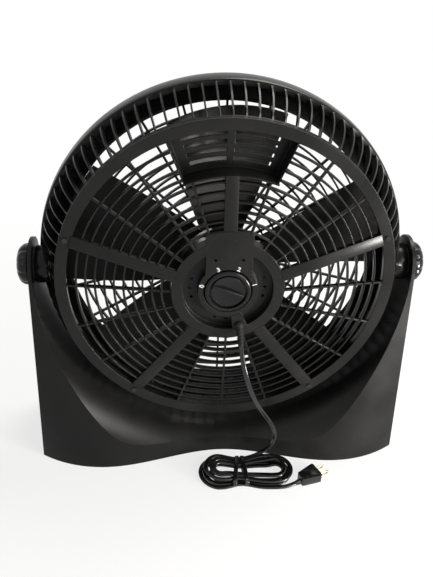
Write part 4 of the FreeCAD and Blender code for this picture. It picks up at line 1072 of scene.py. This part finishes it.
# %% [markdown]
# ## A white surround
# The fan stands in plain white. Enough light to make the surround white would also turn the black
# plastic grey. So only the eye and the reflections see white there, and all other rays meet an
# ordinary room. The Light Path node tells which ray is which.

# %% Rays that see white


def seen_rays(tree, eye_share=None):
    """Socket for rays from the eye, weighed by a share, and for those that gloss or glass send on."""
    rays = tree.nodes.new("ShaderNodeLightPath")
    total = rays.outputs["Is Camera Ray"]
    if eye_share is not None:
        weighed = tree.nodes.new("ShaderNodeMath")
        weighed.operation = "MULTIPLY"
        tree.links.new(total, weighed.inputs[0])
        tree.links.new(eye_share, weighed.inputs[1])
        total = weighed.outputs["Value"]
    for label in ("Is Glossy Ray", "Is Transmission Ray"):
        either = tree.nodes.new("ShaderNodeMath")
        either.operation = "MAXIMUM"
        tree.links.new(total, either.inputs[0])
        tree.links.new(rays.outputs[label], either.inputs[1])
        total = either.outputs["Value"]
    return total

# %% [markdown]
# ## The floor
# The floor is a sheet of pale paper with no edge in sight. A glow of strength one looks white, but
# alone it would leave the fan hanging in the air. So near the fan the eye gets a share of the
# real paper too, and with it the soft shadow that ties the fan to the ground.

# %% Floor
FLOOR_SIZE = 24.0
FLOOR_PALE = (0.86, 0.86, 0.86)
PAPER_ROUGHNESS = 0.9
PAPER_SPECULAR = 0.1
SHADOW_KEPT = 0.25
SHADOW_NEAR = 0.35
SHADOW_FAR = 0.9


def paper_white(name):
    """Pale paper that looks white to the eye and still takes a part of the shadow."""
    material = bpy.data.materials.new(name)
    material.use_nodes = True
    tree = material.node_tree
    paper = tree.nodes["Principled BSDF"]
    paper.inputs["Base Color"].default_value = (*FLOOR_PALE, 1)
    paper.inputs["Roughness"].default_value = PAPER_ROUGHNESS
    paper.inputs["Specular IOR Level"].default_value = PAPER_SPECULAR
    glow = tree.nodes.new("ShaderNodeEmission")
    glow.inputs["Strength"].default_value = 1.0
    away = tree.nodes.new("ShaderNodeVectorMath")
    away.operation = "LENGTH"
    tree.links.new(tree.nodes.new("ShaderNodeTexCoord").outputs["Object"], away.inputs[0])
    fade = tree.nodes.new("ShaderNodeMapRange")
    fade.inputs["From Min"].default_value = SHADOW_NEAR
    fade.inputs["From Max"].default_value = SHADOW_FAR
    fade.inputs["To Min"].default_value = 1 - SHADOW_KEPT
    fade.inputs["To Max"].default_value = 1.0
    tree.links.new(away.outputs["Value"], fade.inputs["Value"])
    mix = tree.nodes.new("ShaderNodeMixShader")
    tree.links.new(seen_rays(tree, fade.outputs["Result"]), mix.inputs["Fac"])
    tree.links.new(paper.outputs["BSDF"], mix.inputs[1])
    tree.links.new(glow.outputs["Emission"], mix.inputs[2])
    tree.links.new(mix.outputs["Shader"], tree.nodes["Material Output"].inputs["Surface"])
    return material


floor = fresh(bpy.ops.mesh.primitive_plane_add, size=FLOOR_SIZE, location=(0, 0, 0))
floor.name = "floor"
floor.data.materials.append(paper_white("floor_paper"))
print("floor", FLOOR_SIZE, "m wide")

# %% [markdown]
# ## The world
# Like the floor, the world is white to the eye and to reflections. As a light it could be left
# out, but then the inside of the drum would be quite black. A low even level opens those shades
# and leaves the shaping to the lamps.

# %% World
AMBIENT_LEVEL = 0.17

world = bpy.data.worlds.new("studio")
bpy.context.scene.world = world
world.use_nodes = True
air = world.node_tree
ambient = air.nodes["Background"]
ambient.inputs["Color"].default_value = (1, 1, 1, 1)
brightness = air.nodes.new("ShaderNodeMapRange")
brightness.inputs["To Min"].default_value = AMBIENT_LEVEL
brightness.inputs["To Max"].default_value = 1.0
air.links.new(seen_rays(air), brightness.inputs["Value"])
air.links.new(brightness.outputs["Result"], ambient.inputs["Strength"])
print("world lights at", AMBIENT_LEVEL)

# %% [markdown]
# ## The lamps
# Black surfaces are read from what they mirror, so a few large soft lamps do more for them than
# one strong one. The key light stands to the right, a small lamp low at the side lights the right
# panel of the stand, a weak fill opens the left and a lamp above draws the rim.

# %% Lamps
LAMP_WARM = (1.0, 0.98, 0.92)
# Each row: name, place, aim, size, watts
LAMPS = (
    ("key_softbox", (1.7, -1.5, 1.1), (0, 0, 0.25), 1.3, 45.0),
    ("side_softbox", (1.0, -0.75, 0.16), (0.25, -0.05, 0.12), 0.3, 32.0),
    ("fill_softbox", (-1.6, -0.8, 1.9), (0, 0, 0.3), 0.9, 3.0),
    ("top_softbox", (0.7, 0.7, 2.1), (0, 0, 0.4), 1.2, 50.0),
)


def softbox(name, place, aim, size, watts):
    """Square area lamp that looks at a point."""
    data = bpy.data.lights.new(name, "AREA")
    data.shape = "SQUARE"
    data.size = size
    data.energy = watts
    data.color = LAMP_WARM
    lamp = bpy.data.objects.new(name, data)
    lamp.location = place
    lamp.rotation_euler = (Vector(aim) - Vector(place)).to_track_quat("-Z", "Y").to_euler()
    bpy.context.scene.collection.objects.link(lamp)


for lamp in LAMPS:
    softbox(*lamp)
bpy.context.scene.view_settings.view_transform = "Standard"
print("studio with", len(LAMPS), "lamps")
